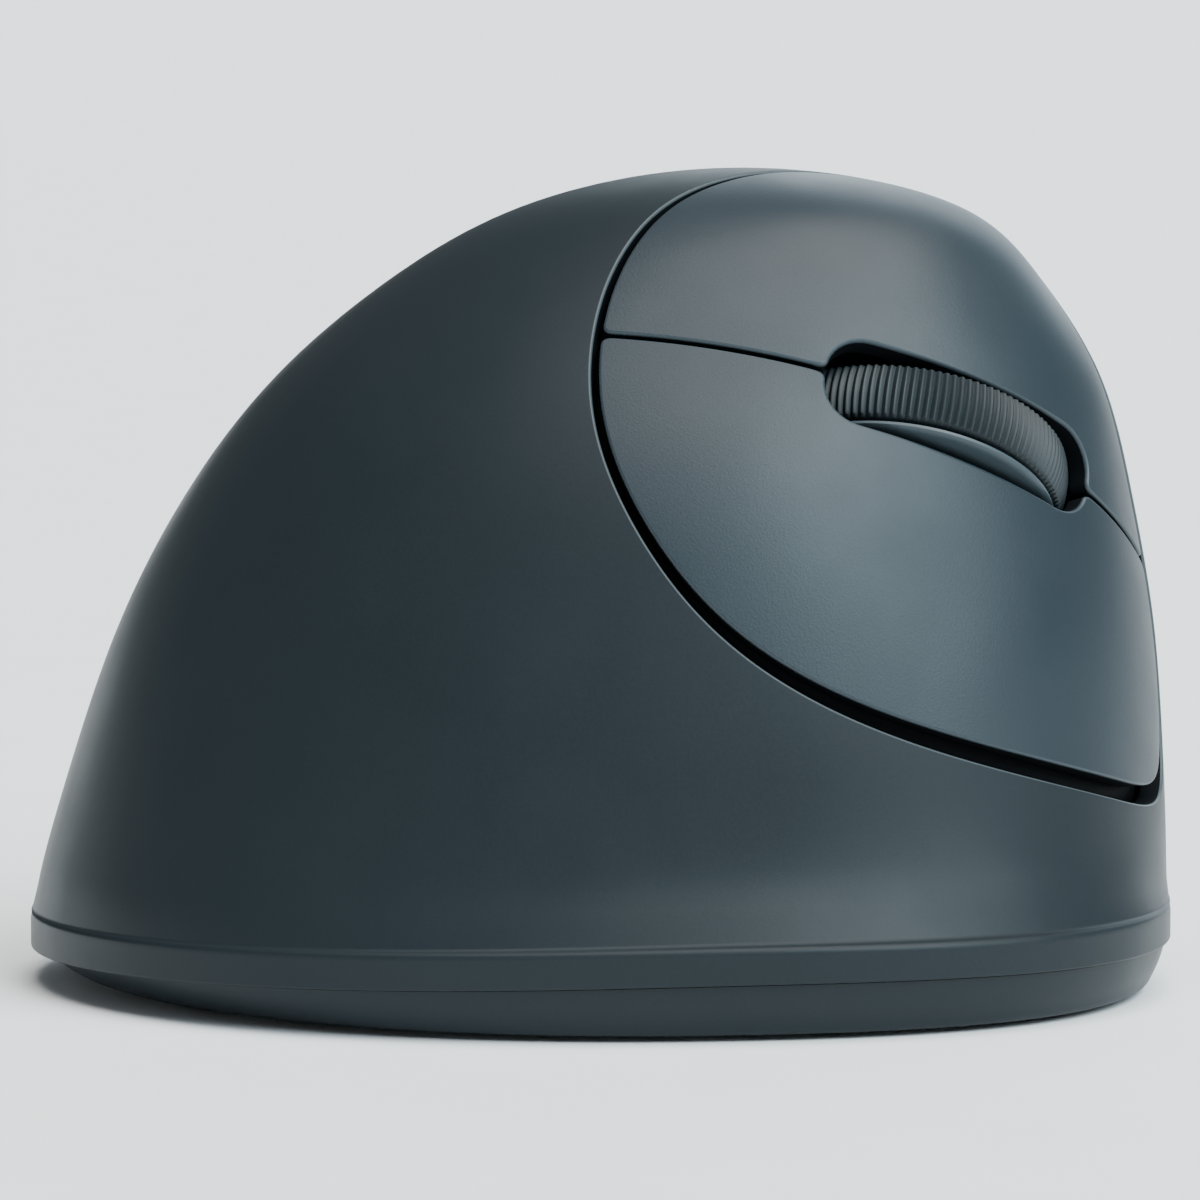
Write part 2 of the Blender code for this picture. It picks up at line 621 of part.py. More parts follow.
def make_shells():
    """Palm shell, thumb shell, the two finger buttons and the two thumb buttons."""
    middle = dome("middle", WALL / 2, MIDDLE_FLOOR_Z)
    shell = cut(outer_dome(), dome("lining", WALL, LINING_FLOOR_Z))
    through_face = (-BUTTON_DEPTH, OUT_OF_FACE)

    finger_blank = copy(shell, "finger_blank")
    trim(finger_blank, prism("keys", button_outline(-0.5), through_face, "button", FACE))
    thumb = copy(shell, "thumb_shell")
    trim(thumb, thumb_side("arch", thumb_arch(-THUMB_SEAM / 2), THUMB_OUTER_X))
    thumb_blank = copy(thumb, "thumb_blank")

    palm = shell
    palm.name = "palm_shell"
    cut(palm, prism("opening", button_outline(0.5), through_face, "shell", FACE))
    cut(palm, thumb_side("arch", thumb_arch(THUMB_SEAM / 2), THUMB_OUTER_X))
    hole_y = (BACK_Y[0] - THUMB_GAP, FORWARD_Y[1] + THUMB_GAP)
    hole_z = (THUMB_Z[0] - THUMB_GAP, THUMB_Z[1] + THUMB_GAP)
    cut(thumb, thumb_side("hole", rounded_rectangle(hole_y, hole_z, THUMB_CORNER + THUMB_GAP)))
    for x, y in CASE_SCREWS.values():
        owner = palm if x > 0 else thumb
        join(owner, screw_boss("boss", (x, y), middle))
        cut(owner, cylinder("pilot", (x, y), PILOT_RADIUS, PILOT_Z, "shell", None, 12))

    make_button("index_button", finger_blank, True, INDEX_SWITCH, middle)
    make_button("middle_button", finger_blank, False, MIDDLE_SWITCH, middle)
    thumb_button("back_button", thumb_blank, BACK_Y, middle)
    thumb_button("forward_button", thumb_blank, FORWARD_Y, middle)
    for scrap in (finger_blank, thumb_blank, middle):
        bpy.data.objects.remove(scrap)


# ================================================================ base and what shows under it
def base_rings():
    """The base's side from the underside up, its lip, the tongue inside the shell and the floor."""
    angles = even_angles(SKIN_COLUMNS)
    lip_z = skin_points(angles, [1.0])[0][:, 2] - BAND_HEIGHT - SEAM
    tongue_inset, tongue_heel = TONGUE_INSET
    rows = [(inset, heel, z) for z, inset, heel in reversed(BASE_SIDE)]
    rows += [
        (*LIP_INSET, lip_z),
        (tongue_inset, tongue_heel, lip_z),
        (tongue_inset, tongue_heel, lip_z + TONGUE_RISE),
        (tongue_inset + TONGUE_WALL, tongue_heel, lip_z + TONGUE_RISE),
        (*FLOOR_INSET, BASE_Z + FLOOR),
    ]
    return [level_ring(rim_outline(angles, inset, heel), z) for inset, heel, z in rows]


def centred_box(name, at, half, z, slot, bevel=0.0):
    return box(name, span(at[0], half[0]), span(at[1], half[1]), z, slot, None, bevel)


def make_base():
    """Tray with a sloping side, a tongue inside the shell, and every opening of the underside."""
    base = loft("base_plate", base_rings(), "shell")
    post_z = (BASE_Z + SUNK, PCB_Z[0] - SEAM)
    posts = [cylinder("post", at, PCB_POST_RADIUS, post_z, "shell", None, 12) for at in PCB_POSTS]
    sleeve = centred_box("sleeve", RECEIVER_AT, SLEEVE_HALF, (BASE_Z + SUNK, SLEEVE_TOP), "shell")
    for piece in (*posts, sleeve):
        join(base, piece)

    low, high = THROUGH_FLOOR
    door_x = (DOOR_X[0] - DOOR_GAP, DOOR_X[1] + DOOR_GAP)
    door_y = (DOOR_Y[0] - DOOR_GAP, DOOR_Y[1] + DOOR_GAP)
    optics = rounded_rectangle(
        span(SENSOR_AT[0], OPTICS_HALF[0]), span(SENSOR_AT[1], OPTICS_HALF[1]), OPTICS_CORNER
    )
    tools = [
        box("door", door_x, door_y, THROUGH_FLOOR, "shell"),
        prism("optics", optics, THROUGH_FLOOR, "shell"),
        centred_box("power", POWER_AT, POWER_HOLE_HALF, THROUGH_FLOOR, "shell"),
        cylinder("dpi", DPI_AT, DPI_RADIUS + SEAM, THROUGH_FLOOR, "shell"),
        centred_box("bay", RECEIVER_AT, BAY_HALF, (low, BAY_TOP), "shell"),
        centred_box("plug_bay", RECEIVER_AT, PLUG_BAY_HALF, PLUG_BAY_Z, "shell"),
    ]
    head_z = (low, BASE_Z + HEAD_HOLE_DEPTH)
    for at in CASE_SCREWS.values():
        tools.append(cylinder("head", at, HEAD_HOLE_RADIUS, head_z, "shell", None, 16))
        tools.append(cylinder("shank", at, SHANK_HOLE_RADIUS, (low, high), "shell", None, 12))
    for tool in tools:
        cut(base, tool)
    return base


def make_foot(name, x, y, half_x, half_y, turn):
    """One glide foot, an oval pad under the base, turned by a few degrees."""
    place = moved_to(x, y, 0) @ Matrix.Rotation(math.radians(turn), 4, "Z")
    corner = min(half_x, half_y) * FOOT_ROUNDNESS
    outline = rounded_rectangle((-half_x, half_x), (-half_y, half_y), corner, 6)
    return prism(name, outline, (0.0, BASE_Z - FIT), "glide", place)


def make_screw(name, at):
    """A pan-head screw, head down, from one turned profile."""
    profile = (
        (0.0, 0.0), (HEAD_RADIUS, 0.0), (HEAD_RADIUS, HEAD_HEIGHT),
        (SHANK_RADIUS, HEAD_HEIGHT), (SHANK_RADIUS, SCREW_LENGTH), (0.0, SCREW_LENGTH),
    )
    return turned_bar(name, profile, "steel", moved_to(at[0], at[1], BASE_Z + FIT), 12)


def make_battery_door():
    """The door, hinged at its rear edge, with finger grips near its front edge."""
    door_z = (BASE_Z + FIT, BASE_Z + DOOR_THICK)
    door = box("battery_door", DOOR_X, DOOR_Y, door_z, "shell", None, 1.0)
    for k in range(GRIP_COUNT):
        y = DOOR_Y[1] - GRIP_FROM_END - GRIP_PITCH * k
        groove = ((y, y + GRIP_WIDTH), (-1.0, BASE_Z + GRIP_DEPTH))
        cut(door, box("grip", span(BATTERY_X, GRIP_HALF), *groove, "shell"))
    return set_origin(door, moved_to(BATTERY_X, DOOR_Y[0], BASE_Z + FIT))


def make_power_slider():
    """The power slider at its rear end, held up by a flange over the base's floor."""
    x, y = POWER_AT[0], POWER_AT[1] - POWER_TRAVEL / 2
    half_x, half_y = SLIDER_HALF
    slider = centred_box("power_slider", (x, y), SLIDER_HALF, (BASE_Z + 0.1, SLIDER_TOP), "hub", 0.4)
    flange_z = (BASE_Z + FLOOR + SEAM, SLIDER_TOP - FLANGE_DROP)
    flange_half = (half_x + FLANGE, SLIDER_FLANGE_HALF_Y)
    join(slider, centred_box("flange", (x, y), flange_half, flange_z, "hub"))
    for k in (-1, 0, 1):
        groove_y = span(y + RIDGE_PITCH * k, RIDGE_HALF)
        cut(slider, box("ridge", span(x, 2 * half_x), groove_y, (-1.0, BASE_Z + GRIP_DEPTH), "hub"))
    return set_origin(slider, moved_to(x, y, SLIDER_TOP))


def make_dpi_button():
    button = cylinder("dpi_button", DPI_AT, DPI_RADIUS, (BASE_Z + 0.2, DPI_TOP), "hub")
    flange_z = (BASE_Z + FLOOR + SEAM, DPI_TOP - FLANGE_DROP)
    join(button, cylinder("flange", DPI_AT, DPI_RADIUS + FLANGE, flange_z, "hub"))
    return set_origin(button, moved_to(*DPI_AT, DPI_TOP))


def make_receiver():
    """The radio receiver stored in its bay: a grip with a nail notch, and its hollow plug."""
    x, y = RECEIVER_AT
    grip_z = (BASE_Z + 0.2, GRIP_PART_TOP)
    grip = centred_box("receiver_grip", RECEIVER_AT, GRIP_PART_HALF, grip_z, "hub", 1.0)
    cut(grip, box("nail_notch", span(x, 3.0), (y - 4.0, y - 2.2), (-1.0, BASE_Z + 2.0), "hub"))
    plug = centred_box("receiver_plug", RECEIVER_AT, PLUG_HALF, PLUG_Z, "steel", 0.5)
    hollow_y = (y + PLUG_HOLLOW_Y[0], y + PLUG_HOLLOW_Y[1])
    cut(plug, box("socket", span(x, PLUG_HOLLOW_HALF), hollow_y, PLUG_HOLLOW_Z, "steel"))
    for thing in (grip, plug):
        set_origin(thing, moved_to(x, y, BASE_Z))


def make_underside():
    """Glide feet, screws, battery door, power slider, DPI button and the stored receiver."""
    for where, foot in FEET.items():
        make_foot(f"glide_foot_{where}", *foot)
    for where, at in CASE_SCREWS.items():
        make_screw(f"case_screw_{where}", at)
    make_battery_door()
    make_power_slider()
    make_dpi_button()
    make_receiver()


# ================================================================ scroll wheel
def make_wheel():
    """Tyre, hub, axle and encoder rotor, which turn together."""
    place = across_face(WHEEL_P, 0, WHEEL_N)
    half, inner = TYRE_WIDTH / 2, WHEEL_RADIUS - TYRE_DEPTH
    shoulder, chamfer = WHEEL_RADIUS - TYRE_CHAMFER, half - TYRE_CHAMFER
    turned_ring("wheel_tyre", (
        (inner, -half), (shoulder, -half), (WHEEL_RADIUS, -chamfer),
        (WHEEL_RADIUS, chamfer), (shoulder, half), (inner, half),
    ), "rubber", place, 48)
    rim_half, boss_half, bore, seat = half - 0.3, half + 0.5, AXLE_RADIUS + FIT, inner - 0.1
    lower = (
        (bore, -boss_half), (HUB_BOSS, -boss_half), (HUB_BOSS, -HUB_WEB_HALF),
        (HUB_WEB_END, -HUB_WEB_HALF), (HUB_RIM, -rim_half), (seat, -rim_half),
    )
    upper = tuple((radius, -height) for radius, height in reversed(lower))
    turned_ring("wheel_hub", lower + upper, "hub", place, 48)
    cylinder("wheel_axle", (0, 0), AXLE_RADIUS, (ENCODER_Q[0] + 0.3, AXLE_END_Q), "steel", place, 48)
    rotor = ((bore, ROTOR_Q[0]), (ROTOR_RADIUS, ROTOR_Q[0]), (ROTOR_RADIUS, ROTOR_Q[1]), (bore, ROTOR_Q[1]))
    turned_ring("encoder_rotor", rotor, "chip", place, 24)


def make_carrier():
    """The rocking frame that holds the wheel and its encoder, and the pin that it rocks on."""
    axle = across_face(WHEEL_P, 0, WHEEL_N)
    pivot = across_face(CARRIER_PIVOT_P, 0, CARRIER_PIVOT_N)
    inner_q, outer_q = CHEEK_Q
    low, high = CARRIER_N
    carrier = box("wheel_carrier", CARRIER_P, (-outer_q, outer_q), CARRIER_N, "frame", FACE)
    cut(carrier, box("well", CARRIER_WELL_P, (-inner_q, inner_q), (-30.0, 0.0), "frame", FACE))
    cheek_n = (low + 1.0, WHEEL_N + CHEEK_ABOVE_AXLE)
    for q in ((-outer_q, -inner_q), (inner_q, outer_q)):
        join(carrier, box("cheek", span(WHEEL_P, CHEEK_HALF), q, cheek_n, "frame", FACE))
    tab_p, tab_n = (CARRIER_P[0] - TAB_LENGTH, CARRIER_P[0] + 0.9), (CARRIER_TAB_N, high - 0.1)
    join(carrier, box("tab", tab_p, (-TAB_HALF, TAB_HALF), tab_n, "frame", FACE))
    through = (-12.0, 12.0)
    cut(carrier, cylinder("bore", (0, 0), AXLE_RADIUS + 0.08, through, "frame", axle, 24))
    cut(carrier, cylinder("bore", (0, 0), PIN_RADIUS + RUNNING, through, "frame", pivot, 16))
    housing_n = (low, WHEEL_N + ENCODER_ABOVE_AXLE)
    housing_p = span(WHEEL_P, ENCODER_HALF)
    housing = box("encoder_housing", housing_p, ENCODER_Q, housing_n, "chip", FACE)
    cut(housing, cylinder("bore", (0, 0), ROTOR_RADIUS + 0.1, (-20.0, 0.0), "chip", axle, 24))
    for thing in (carrier, housing):
        set_origin(thing, pivot)
    pin_q = (CARRIER_EARS_Q[0][0] - 0.2, CARRIER_EARS_Q[1][1] + 0.2)
    cylinder("carrier_pivot_pin", (0, 0), PIN_RADIUS, pin_q, "steel", pivot, 16)


# ================================================================ boards, switches and bracket
def board_plate(name, n, slot):
    """A plate of the board's outline with a well for the wheel."""
    half_p, half_q = BOARD_WELL_HALF
    well = box("well", span(WHEEL_P, half_p), (-half_q, half_q), (n[0] - 5, n[1] + 5), slot, FACE)
    return cut(prism(name, BOARD_OUTLINE, n, slot, FACE), well)


def make_switch(name, top, size, plunger_x, radius, rise):
    """A switch below the frame top, with a plunger that stands out by rise and can sink."""
    length, width, height = size
    x, y = (-length / 2, length / 2), (-width / 2, width / 2)
    body = box(name + "_body", x, y, (-height, 0), "switch", top, 0.3)
    well_z = (-PLUNGER_SUNK - PLUNGER_ROOM, 1.0)
    cut(body, cylinder("well", (plunger_x, 0), radius + RUNNING, well_z, "switch", top, 16))
    plunger_z = (-PLUNGER_SUNK, rise)
    plunger = cylinder(name + "_plunger", (plunger_x, 0), radius, plunger_z, "plunger", top, 16)
    set_origin(plunger, top @ moved_to(plunger_x, 0, 0))


def make_finger_switches():
    """The switches of the two finger buttons and of the wheel, on the button board."""
    foot = BOARD_TOP + SWITCH_FOOT
    for name, at in (("index_switch", INDEX_SWITCH), ("middle_switch", MIDDLE_SWITCH)):
        top = level_with_face(*at, foot + SWITCH_SIZE[2])
        make_switch(name, top, SWITCH_SIZE, PLUNGER_OFFSET_P, PLUNGER_RADIUS, PLUNGER_RISE)
    top_n = foot + WHEEL_SWITCH_SIZE[2]
    rise = CARRIER_TAB_N - TOUCH - top_n
    top = level_with_face(*WHEEL_SWITCH, top_n)
    make_switch("wheel_switch", top, WHEEL_SWITCH_SIZE, 0, WHEEL_PLUNGER_RADIUS, rise)


def make_bracket():
    """Button board, the bracket under it with its ears and legs, and the buttons' hinge pin."""
    board = board_plate("button_board", (BOARD_TOP - BOARD_THICK, BOARD_TOP), "board")
    bracket = board_plate("button_bracket", BRACKET_N, "frame")
    hinges = ((HINGE_P, HINGE_N, -1, EARS_Q), (CARRIER_PIVOT_P, CARRIER_PIVOT_N, 1, CARRIER_EARS_Q))
    for p, n, outward, ears in hinges:
        notch_p = sorted((p - outward * (EAR_HALF + SEAM), p + outward * 12.0))
        ear_n = (BRACKET_N[0] + 0.4, n + EAR_HALF)
        for q in ears:
            join(bracket, box("ear", span(p, EAR_HALF), q, ear_n, "frame", FACE))
            cut(board, box("notch", notch_p, (q[0] - SEAM, q[1] + SEAM), (-25, -10), "board", FACE))
        pin = across_face(p, 0, n)
        cut(bracket, cylinder("bore", (0, 0), PIN_RADIUS + 0.04, (-20, 20), "frame", pin, 16))

    above_n = (BRACKET_N[1] - 0.8, 80.0)
    above = box("above", (-80, 80), (-80, 80), above_n, "frame", FACE)
    floor_top = BASE_Z + FLOOR + SEAM
    web = box("web", WEB_X, WEB_Y, (floor_top, 60.0), "frame")
    front_leg = centred_box("front_leg", FRONT_LEG, FRONT_LEG_HALF, (floor_top, 60.0), "frame")
    for leg in (web, front_leg):
        cut(leg, above, keep=True)
        join(bracket, leg)
    bpy.data.objects.remove(above)
    foot_half, foot_z = (BRACKET_FOOT_HALF,) * 2, (floor_top, floor_top + BRACKET_FOOT_THICK)
    for at in BRACKET_FEET:
        join(bracket, centred_box("foot", at, foot_half, foot_z, "frame"))
    pin_q, pin = (EARS_Q[0][0] - 0.3, EARS_Q[2][1] + 0.3), across_face(HINGE_P, 0, HINGE_N)
    cylinder("button_hinge_pin", (0, 0), PIN_RADIUS, pin_q, "steel", pin, 16)


def make_thumb_board():
    """Thumb board with a tact switch behind each thumb button."""
    board_y, board_z = (BACK_Y[0] - 1, FORWARD_Y[1] - 1), (THUMB_Z[0] - 2, THUMB_Z[1] + 1)
    box("thumb_board", board_y, board_z, THUMB_BOARD_X, "board", thumb_frame())
    size = (TACT_SIDE, TACT_SIDE, TACT_RISE - FIT)
    for name, y in (("back", BACK_Y), ("forward", FORWARD_Y)):
        at = (THUMB_BOARD_X[0] - TACT_RISE, sum(y) / 2, sum(THUMB_Z) / 2)
        top = frame_at(at, Vector((0, 1, 0)), Vector((0, 0, -1)), Vector((-1, 0, 0)))
        make_switch(f"{name}_switch", top, size, 0, TACT_PLUNGER_RADIUS, TACT_PLUNGER)


def make_main_board():
    """Main board on the base with the sensor, its lens, the switches and the chips."""
    board = box("main_board", PCB_X, PCB_Y, PCB_Z, "board", None, 1.0)
    cut(board, box("notch", (WEB_X[0] - 0.5, WEB_X[1] + 0.5), (-3.6, 7.4), (0, 20), "board"))
    cut(board, centred_box("aperture", SENSOR_AT, (2.5, 3.5), (0, 20), "board"))
    top, under = PCB_Z[1] + FIT, PCB_Z[0] - FIT
    sensor = centred_box("optical_sensor", SENSOR_AT, (5.0, 6.0), (top, top + 3.0), "chip", 0.6)
    cut(sensor, cylinder("iris", SENSOR_AT, 1.2, (0, top + 0.8), "chip", None, 12))
    lens_z = (BASE_Z + FLOOR + SEAM, 4.0)
    lens = centred_box("sensor_lens", SENSOR_AT, (4.6, 7.6), lens_z, "lens", 0.6)
    join(lens, cylinder("dome", SENSOR_AT, 2.2, (3.5, under - 0.4), "lens", None, 16))
    box("controller_chip", (14.6, 21.6), (8.5, 15.5), (top, top + 1.0), "chip", None, 0.4)
    cylinder("crystal_can", (18.1, 3.0), 1.6, (top, top + 3.4), "steel", None, 16)
    centred_box("power_switch_body", POWER_AT, POWER_SWITCH_HALF, (3.8, under), "switch", 0.3)
    place = frame_at((*DPI_AT, DPI_SWITCH_Z), Vector((1, 0, 0)), Vector((0, -1, 0)), Vector((0, 0, -1)))
    size = (DPI_SWITCH_SIDE, DPI_SWITCH_SIDE, under - DPI_SWITCH_Z)
    make_switch("dpi_switch", place, size, 0, PLUNGER_RADIUS, DPI_SWITCH_Z - DPI_TOP - TOUCH)


# ================================================================ battery and cable
def make_battery():
    """One AA cell in its holder, against a flat contact."""
    holder_z = (BASE_Z + FLOOR + SEAM, HOLDER_TOP)
    holder = box("battery_holder", HOLDER_X, HOLDER_Y, holder_z, "frame", None, 1.2)
    bay_x = (HOLDER_X[0] + HOLDER_WALL, HOLDER_X[1] - HOLDER_WALL)
    bay_y = (HOLDER_Y[0] + HOLDER_WALL, HOLDER_Y[1] - HOLDER_WALL)
    cut(holder, box("bay", bay_x, bay_y, (0.0, HOLDER_TOP - 1.1), "frame"))
    along = frame_at((BATTERY_X, 0, BATTERY_Z), Vector((1, 0, 0)), Vector((0, 0, -1)), Vector((0, 1, 0)))
    start, end = BATTERY_Y
    shoulder = end - CAP_LENGTH
    profile = (
        (0.0, start), (BATTERY_RADIUS, start), (BATTERY_RADIUS, shoulder),
        (CAP_RADIUS, shoulder), (CAP_RADIUS, end), (0.0, end),
    )
    turned_bar("battery", profile, "battery", along, 28)
    box("battery_contact", span(BATTERY_X, 5.0), (end + 0.4, end + 0.8), (4.0, 16.5), "steel")


def make_battery_spring():
    """The conical spring behind the cell, a bevelled curve with filled caps."""
    wire, turns, steps = 0.35, 3.0, 42
    wide, narrow = 5.4, 3.0
    back, front = HOLDER_Y[0] + 1.9, BATTERY_Y[0] - 0.6
    curve = bpy.data.curves.new("battery_spring", "CURVE")
    curve.dimensions = "3D"
    curve.bevel_depth = wire * MM
    curve.bevel_resolution = 1
    curve.use_fill_caps = True
    line = curve.splines.new("POLY")
    line.points.add(steps)
    for k in range(steps + 1):
        share = k / steps
        a, radius = share * turns * math.tau, wide + (narrow - wide) * share
        x, z = BATTERY_X + radius * math.cos(a), BATTERY_Z + radius * math.sin(a)
        line.points[k].co = (x * MM, (back + (front - back) * share) * MM, z * MM, 1.0)
    spring = bpy.data.objects.new("battery_spring", curve)
    spring.data.materials.append(material("steel"))
    bpy.context.scene.collection.objects.link(spring)


def make_ribbon():
    """Flat cable from the main board up to the button board, bent on a smooth S."""
    start = Vector((17.1, 20.5, PCB_Z[1] + 0.6))
    reach = face_point(-6.0, -13.2, BRACKET_N[0] - 3.0) - start
    half_x, half_y, steps = 0.25, 3.0, 14
    section = ((-half_x, -half_y), (half_x, -half_y), (half_x, half_y), (-half_x, half_y))
    rings = []
    for k in range(steps + 1):
        t = k / steps
        ease = t * t * (3 - 2 * t)
        middle = start + Vector((reach.x * ease, reach.y * t, reach.z * t))
        rings.append([middle + Vector((dx, dy, 0.0)) for dx, dy in section])
    loft("ribbon_cable", rings, "ribbon")


def main():
    for thing in list(bpy.data.objects):
        bpy.data.objects.remove(thing)
    make_shells()
    make_base()
    make_underside()
    make_wheel()
    make_carrier()
    make_bracket()
    make_finger_switches()
    make_thumb_board()
    make_main_board()
    make_battery()
    make_battery_spring()
    make_ribbon()


main()
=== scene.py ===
"""Looks of a right-handed vertical mouse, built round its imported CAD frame.

Lengths are millimetres until a mesh is made. The skin, the outlines and the places repeat the
design dimensions of the CAD part, so every fine piece lies where its CAD node lies.
"""

import math

import bmesh
import bpy
import numpy as np
from mathutils import Matrix, Vector
from mathutils.geometry import delaunay_2d_cdt


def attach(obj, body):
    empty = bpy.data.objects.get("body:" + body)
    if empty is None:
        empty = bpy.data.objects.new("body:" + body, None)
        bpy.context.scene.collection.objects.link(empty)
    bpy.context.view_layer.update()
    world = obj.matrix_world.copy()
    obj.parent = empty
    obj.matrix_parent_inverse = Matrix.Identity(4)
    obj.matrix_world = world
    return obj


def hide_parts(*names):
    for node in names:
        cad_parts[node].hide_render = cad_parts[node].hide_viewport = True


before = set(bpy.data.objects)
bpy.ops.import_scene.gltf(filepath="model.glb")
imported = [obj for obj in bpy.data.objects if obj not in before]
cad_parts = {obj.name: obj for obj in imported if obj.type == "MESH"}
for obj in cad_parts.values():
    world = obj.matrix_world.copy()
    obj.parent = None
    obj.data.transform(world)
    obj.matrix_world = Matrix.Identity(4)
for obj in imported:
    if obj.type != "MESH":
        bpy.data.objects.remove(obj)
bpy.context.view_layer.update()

MM = 0.001

# ---------------------------------------------------------------- dimensions shared with the CAD
CREST_X, CREST_Y = -8.4, 11.5
TOP_Z, RIM_Z = 68.0, 6.8
SKIN_LEVELS = (68.0, 67.0, 64.5, 58.5, 50.5, 40.5, 29.5, 20.5, 14.0, 10.0, 8.0, 6.8)
SKIN_RADII = np.array((
    (0.0, 0.0, 0.0, 0.0, 0.0, 0.0, 0.0, 0.0),
    (7.0, 8.9, 10.8, 7.3, 5.2, 7.0, 10.6, 8.2),
    (13.1, 15.8, 18.9, 13.5, 10.3, 13.5, 19.4, 15.5),
    (20.5, 22.1, 25.4, 19.1, 14.0, 19.8, 30.1, 24.8),
    (26.9, 27.2, 30.3, 22.9, 15.1, 23.4, 39.3, 33.5),
    (32.8, 31.4, 33.0, 25.0, 14.9, 25.7, 46.6, 41.0),
    (36.7, 35.0, 34.8, 26.3, 15.1, 28.1, 51.9, 46.8),
    (38.9, 37.1, 35.4, 27.4, 16.9, 30.6, 54.9, 50.4),
    (40.2, 38.6, 35.6, 29.0, 20.3, 33.8, 56.9, 52.7),
    (41.8, 40.0, 35.6, 31.0, 24.3, 36.5, 58.0, 54.2),
    (43.4, 41.2, 35.6, 32.4, 27.0, 38.3, 58.5, 55.1),
    (44.6, 42.2, 35.7, 33.1, 28.3, 39.2, 58.9, 55.6),
))
RIM_WAVE = np.array((0.6, 0.4, 0.0, 0.0, 0.0, -0.7, -1.4, -0.5))
BAND_HEIGHT = 2.7
BASE_Z, FLOOR, SEAM = 0.5, 1.8, 0.3
TONGUE_WALL, TONGUE_RISE = 1.2, 2.0
LIP_INSET, TONGUE_INSET, TONGUE_HEEL, FLOOR_INSET = 0.4, 2.4, 0.6, 3.8
BASE_SIDE = ((2.5, 0.9, 0.7), (1.4, 1.4, 1.8), (0.7, 1.8, 3.6), (BASE_Z, 2.3, 5.2))

FACE_ORIGIN = np.array((12.35, 30.2, 48.6))
FACE_AZIMUTH, FACE_ELEVATION, FINGER_PITCH = 34.0, 25.5, -22.9
FACE_RAY = (15.0, 35.5)  # rays onto the skin start this far above the face and are this long
BUTTON_CENTRE = np.array((0.0, -2.0))
BUTTON_EDGE = np.array((
    (26.0, -4.0), (20.0, 7.0), (13.0, 17.0), (2.0, 25.0), (-12.0, 24.5), (-23.5, 15.5),
    (-28.0, 1.5), (-25.7, -12.0), (-17.0, -22.5), (-4.5, -27.2), (9.5, -27.0), (22.5, -23.7),
    (30.0, -17.0),
))
BUTTON_GAP, GAP_WIDEST = (0.45, 1.6), 300.0     # its widths, and the direction where it is widest
DIVIDER_AT_WHEEL, DIVIDER_SLOPE, DIVIDER_GAP = -0.1, -0.035, 0.45
SLOT_P, SLOT_HALF_WIDTH, SLOT_CORNER = (-11.2, 14.3), 3.9, 3.3
WHEEL_P, WHEEL_N, WHEEL_RADIUS = 1.5, -11.2, 13.5

THUMB_CENTRE_Y, THUMB_HALF_LENGTH, THUMB_TOP_Z, THUMB_POWER = 3.0, 37.0, 55.0, 2.6
ARCH_POINTS, ARCH_FOOT_Z = 721, 1.0
THUMB_SEAM, THUMB_INNER_X, SIDE_RAY_X = 0.4, -10.9, -70.0
THUMB_Z, THUMB_CORNER, THUMB_GAP, THUMB_PROUD = (40.0, 46.6), 3.0, 0.35, 0.8
THUMB_KEYS = {"back_button": (-10.0, 7.3), "forward_button": (7.7, 25.0)}

# Openings of the base: a rectangle's window is its half width, half length and corner radius.
DOOR_X, DOOR_Y, DOOR_GAP, DOOR_CORNER = (-20.5, -4.3), (-27.6, 29.8), 0.3, 1.3
SENSOR_AT, POWER_AT, DPI_AT, DPI_RADIUS = (3.6, 14.0), (14.1, -14.0), (3.6, -14.0), 2.6
SENSOR_WINDOW, POWER_WINDOW, RECEIVER_WINDOW = (4.0, 7.0, 2.5), (1.9, 4.6, 0.4), (7.5, 3.2, 1.2)
RECEIVER_AT = (5.6, -30.5)
CASE_SCREWS = ((28.1, 14.0), (21.6, -26.0), (-26.9, 14.0), (-24.9, -13.0))
SCREW_HOLE, SCREW_HOLE_DEPTH = 2.9, 1.0
THROUGH = (-2.0, 5.0)    # heights between which a cutter goes through the base's floor

# ---------------------------------------------------------------- how fine the looks are
DISC = 60.0              # the skin is drawn on a disc of this radius, its crest in the middle
ABOVE_RIM = 0.999        # the share of that radius that is still just above the rim
STEP = 1e-3              # how far apart the points are that a direction is taken from
HALVINGS = 34            # steps of the search for where a ray meets the skin
CHUNK = 1000             # points compared at a time, to keep memory small
GRID = 1.15              # spacing of a patch's inner points on the disc
RIM_GRID = 0.6           # the same near the rim, from this share of the disc's radius outwards
RIM_GRID_FROM = 0.68
GRID_ROOM = 0.55         # share of the spacing that inner points keep from the edge
RINGS_ROOM = 0.75        # the same, from the rings along the rim
EDGE = 0.55              # spacing of the points along an edge, and along its finest runs
FINE_EDGE = 0.3
SHARP_TURN = 28          # an outline's corners that turn by more degrees than this are softened
SOFTEN_STEP, SOFTEN_POINTS = 0.05, 8
OUTLINE_POINTS, CORNER_POINTS, WINDOW_CORNER_POINTS, CIRCLE_POINTS = 360, 13, 5, 40
BUTTON_CORNER, PANEL_CORNER, KEY_CORNER = 0.8, 0.7, 0.3
SHELL_THICK = 1.8
EDGE_ROUND, SLOT_ROUND, SEAM_ROUND, KEY_ROUND = 0.24, 0.32, 0.2, 0.5
SLOT_FADE_END, SLOT_FADE = 1.68, 1.2    # where the slot's wider rounding ends, and how gently
ROLL_TURNS = (72, 54, 36, 18, 0)        # how far up each ring of a rolled edge faces, in degrees
SEEN_SEAM = 0.07         # the base's lip comes nearer to the shell than its CAD solid may
CREASE, CREASE_DROP = 0.34, 0.07        # half width and depth of the soft crease along the rim
BEAD_RISE, BEAD_TILT = 0.04, 2.2        # the fine ridge just above the crease
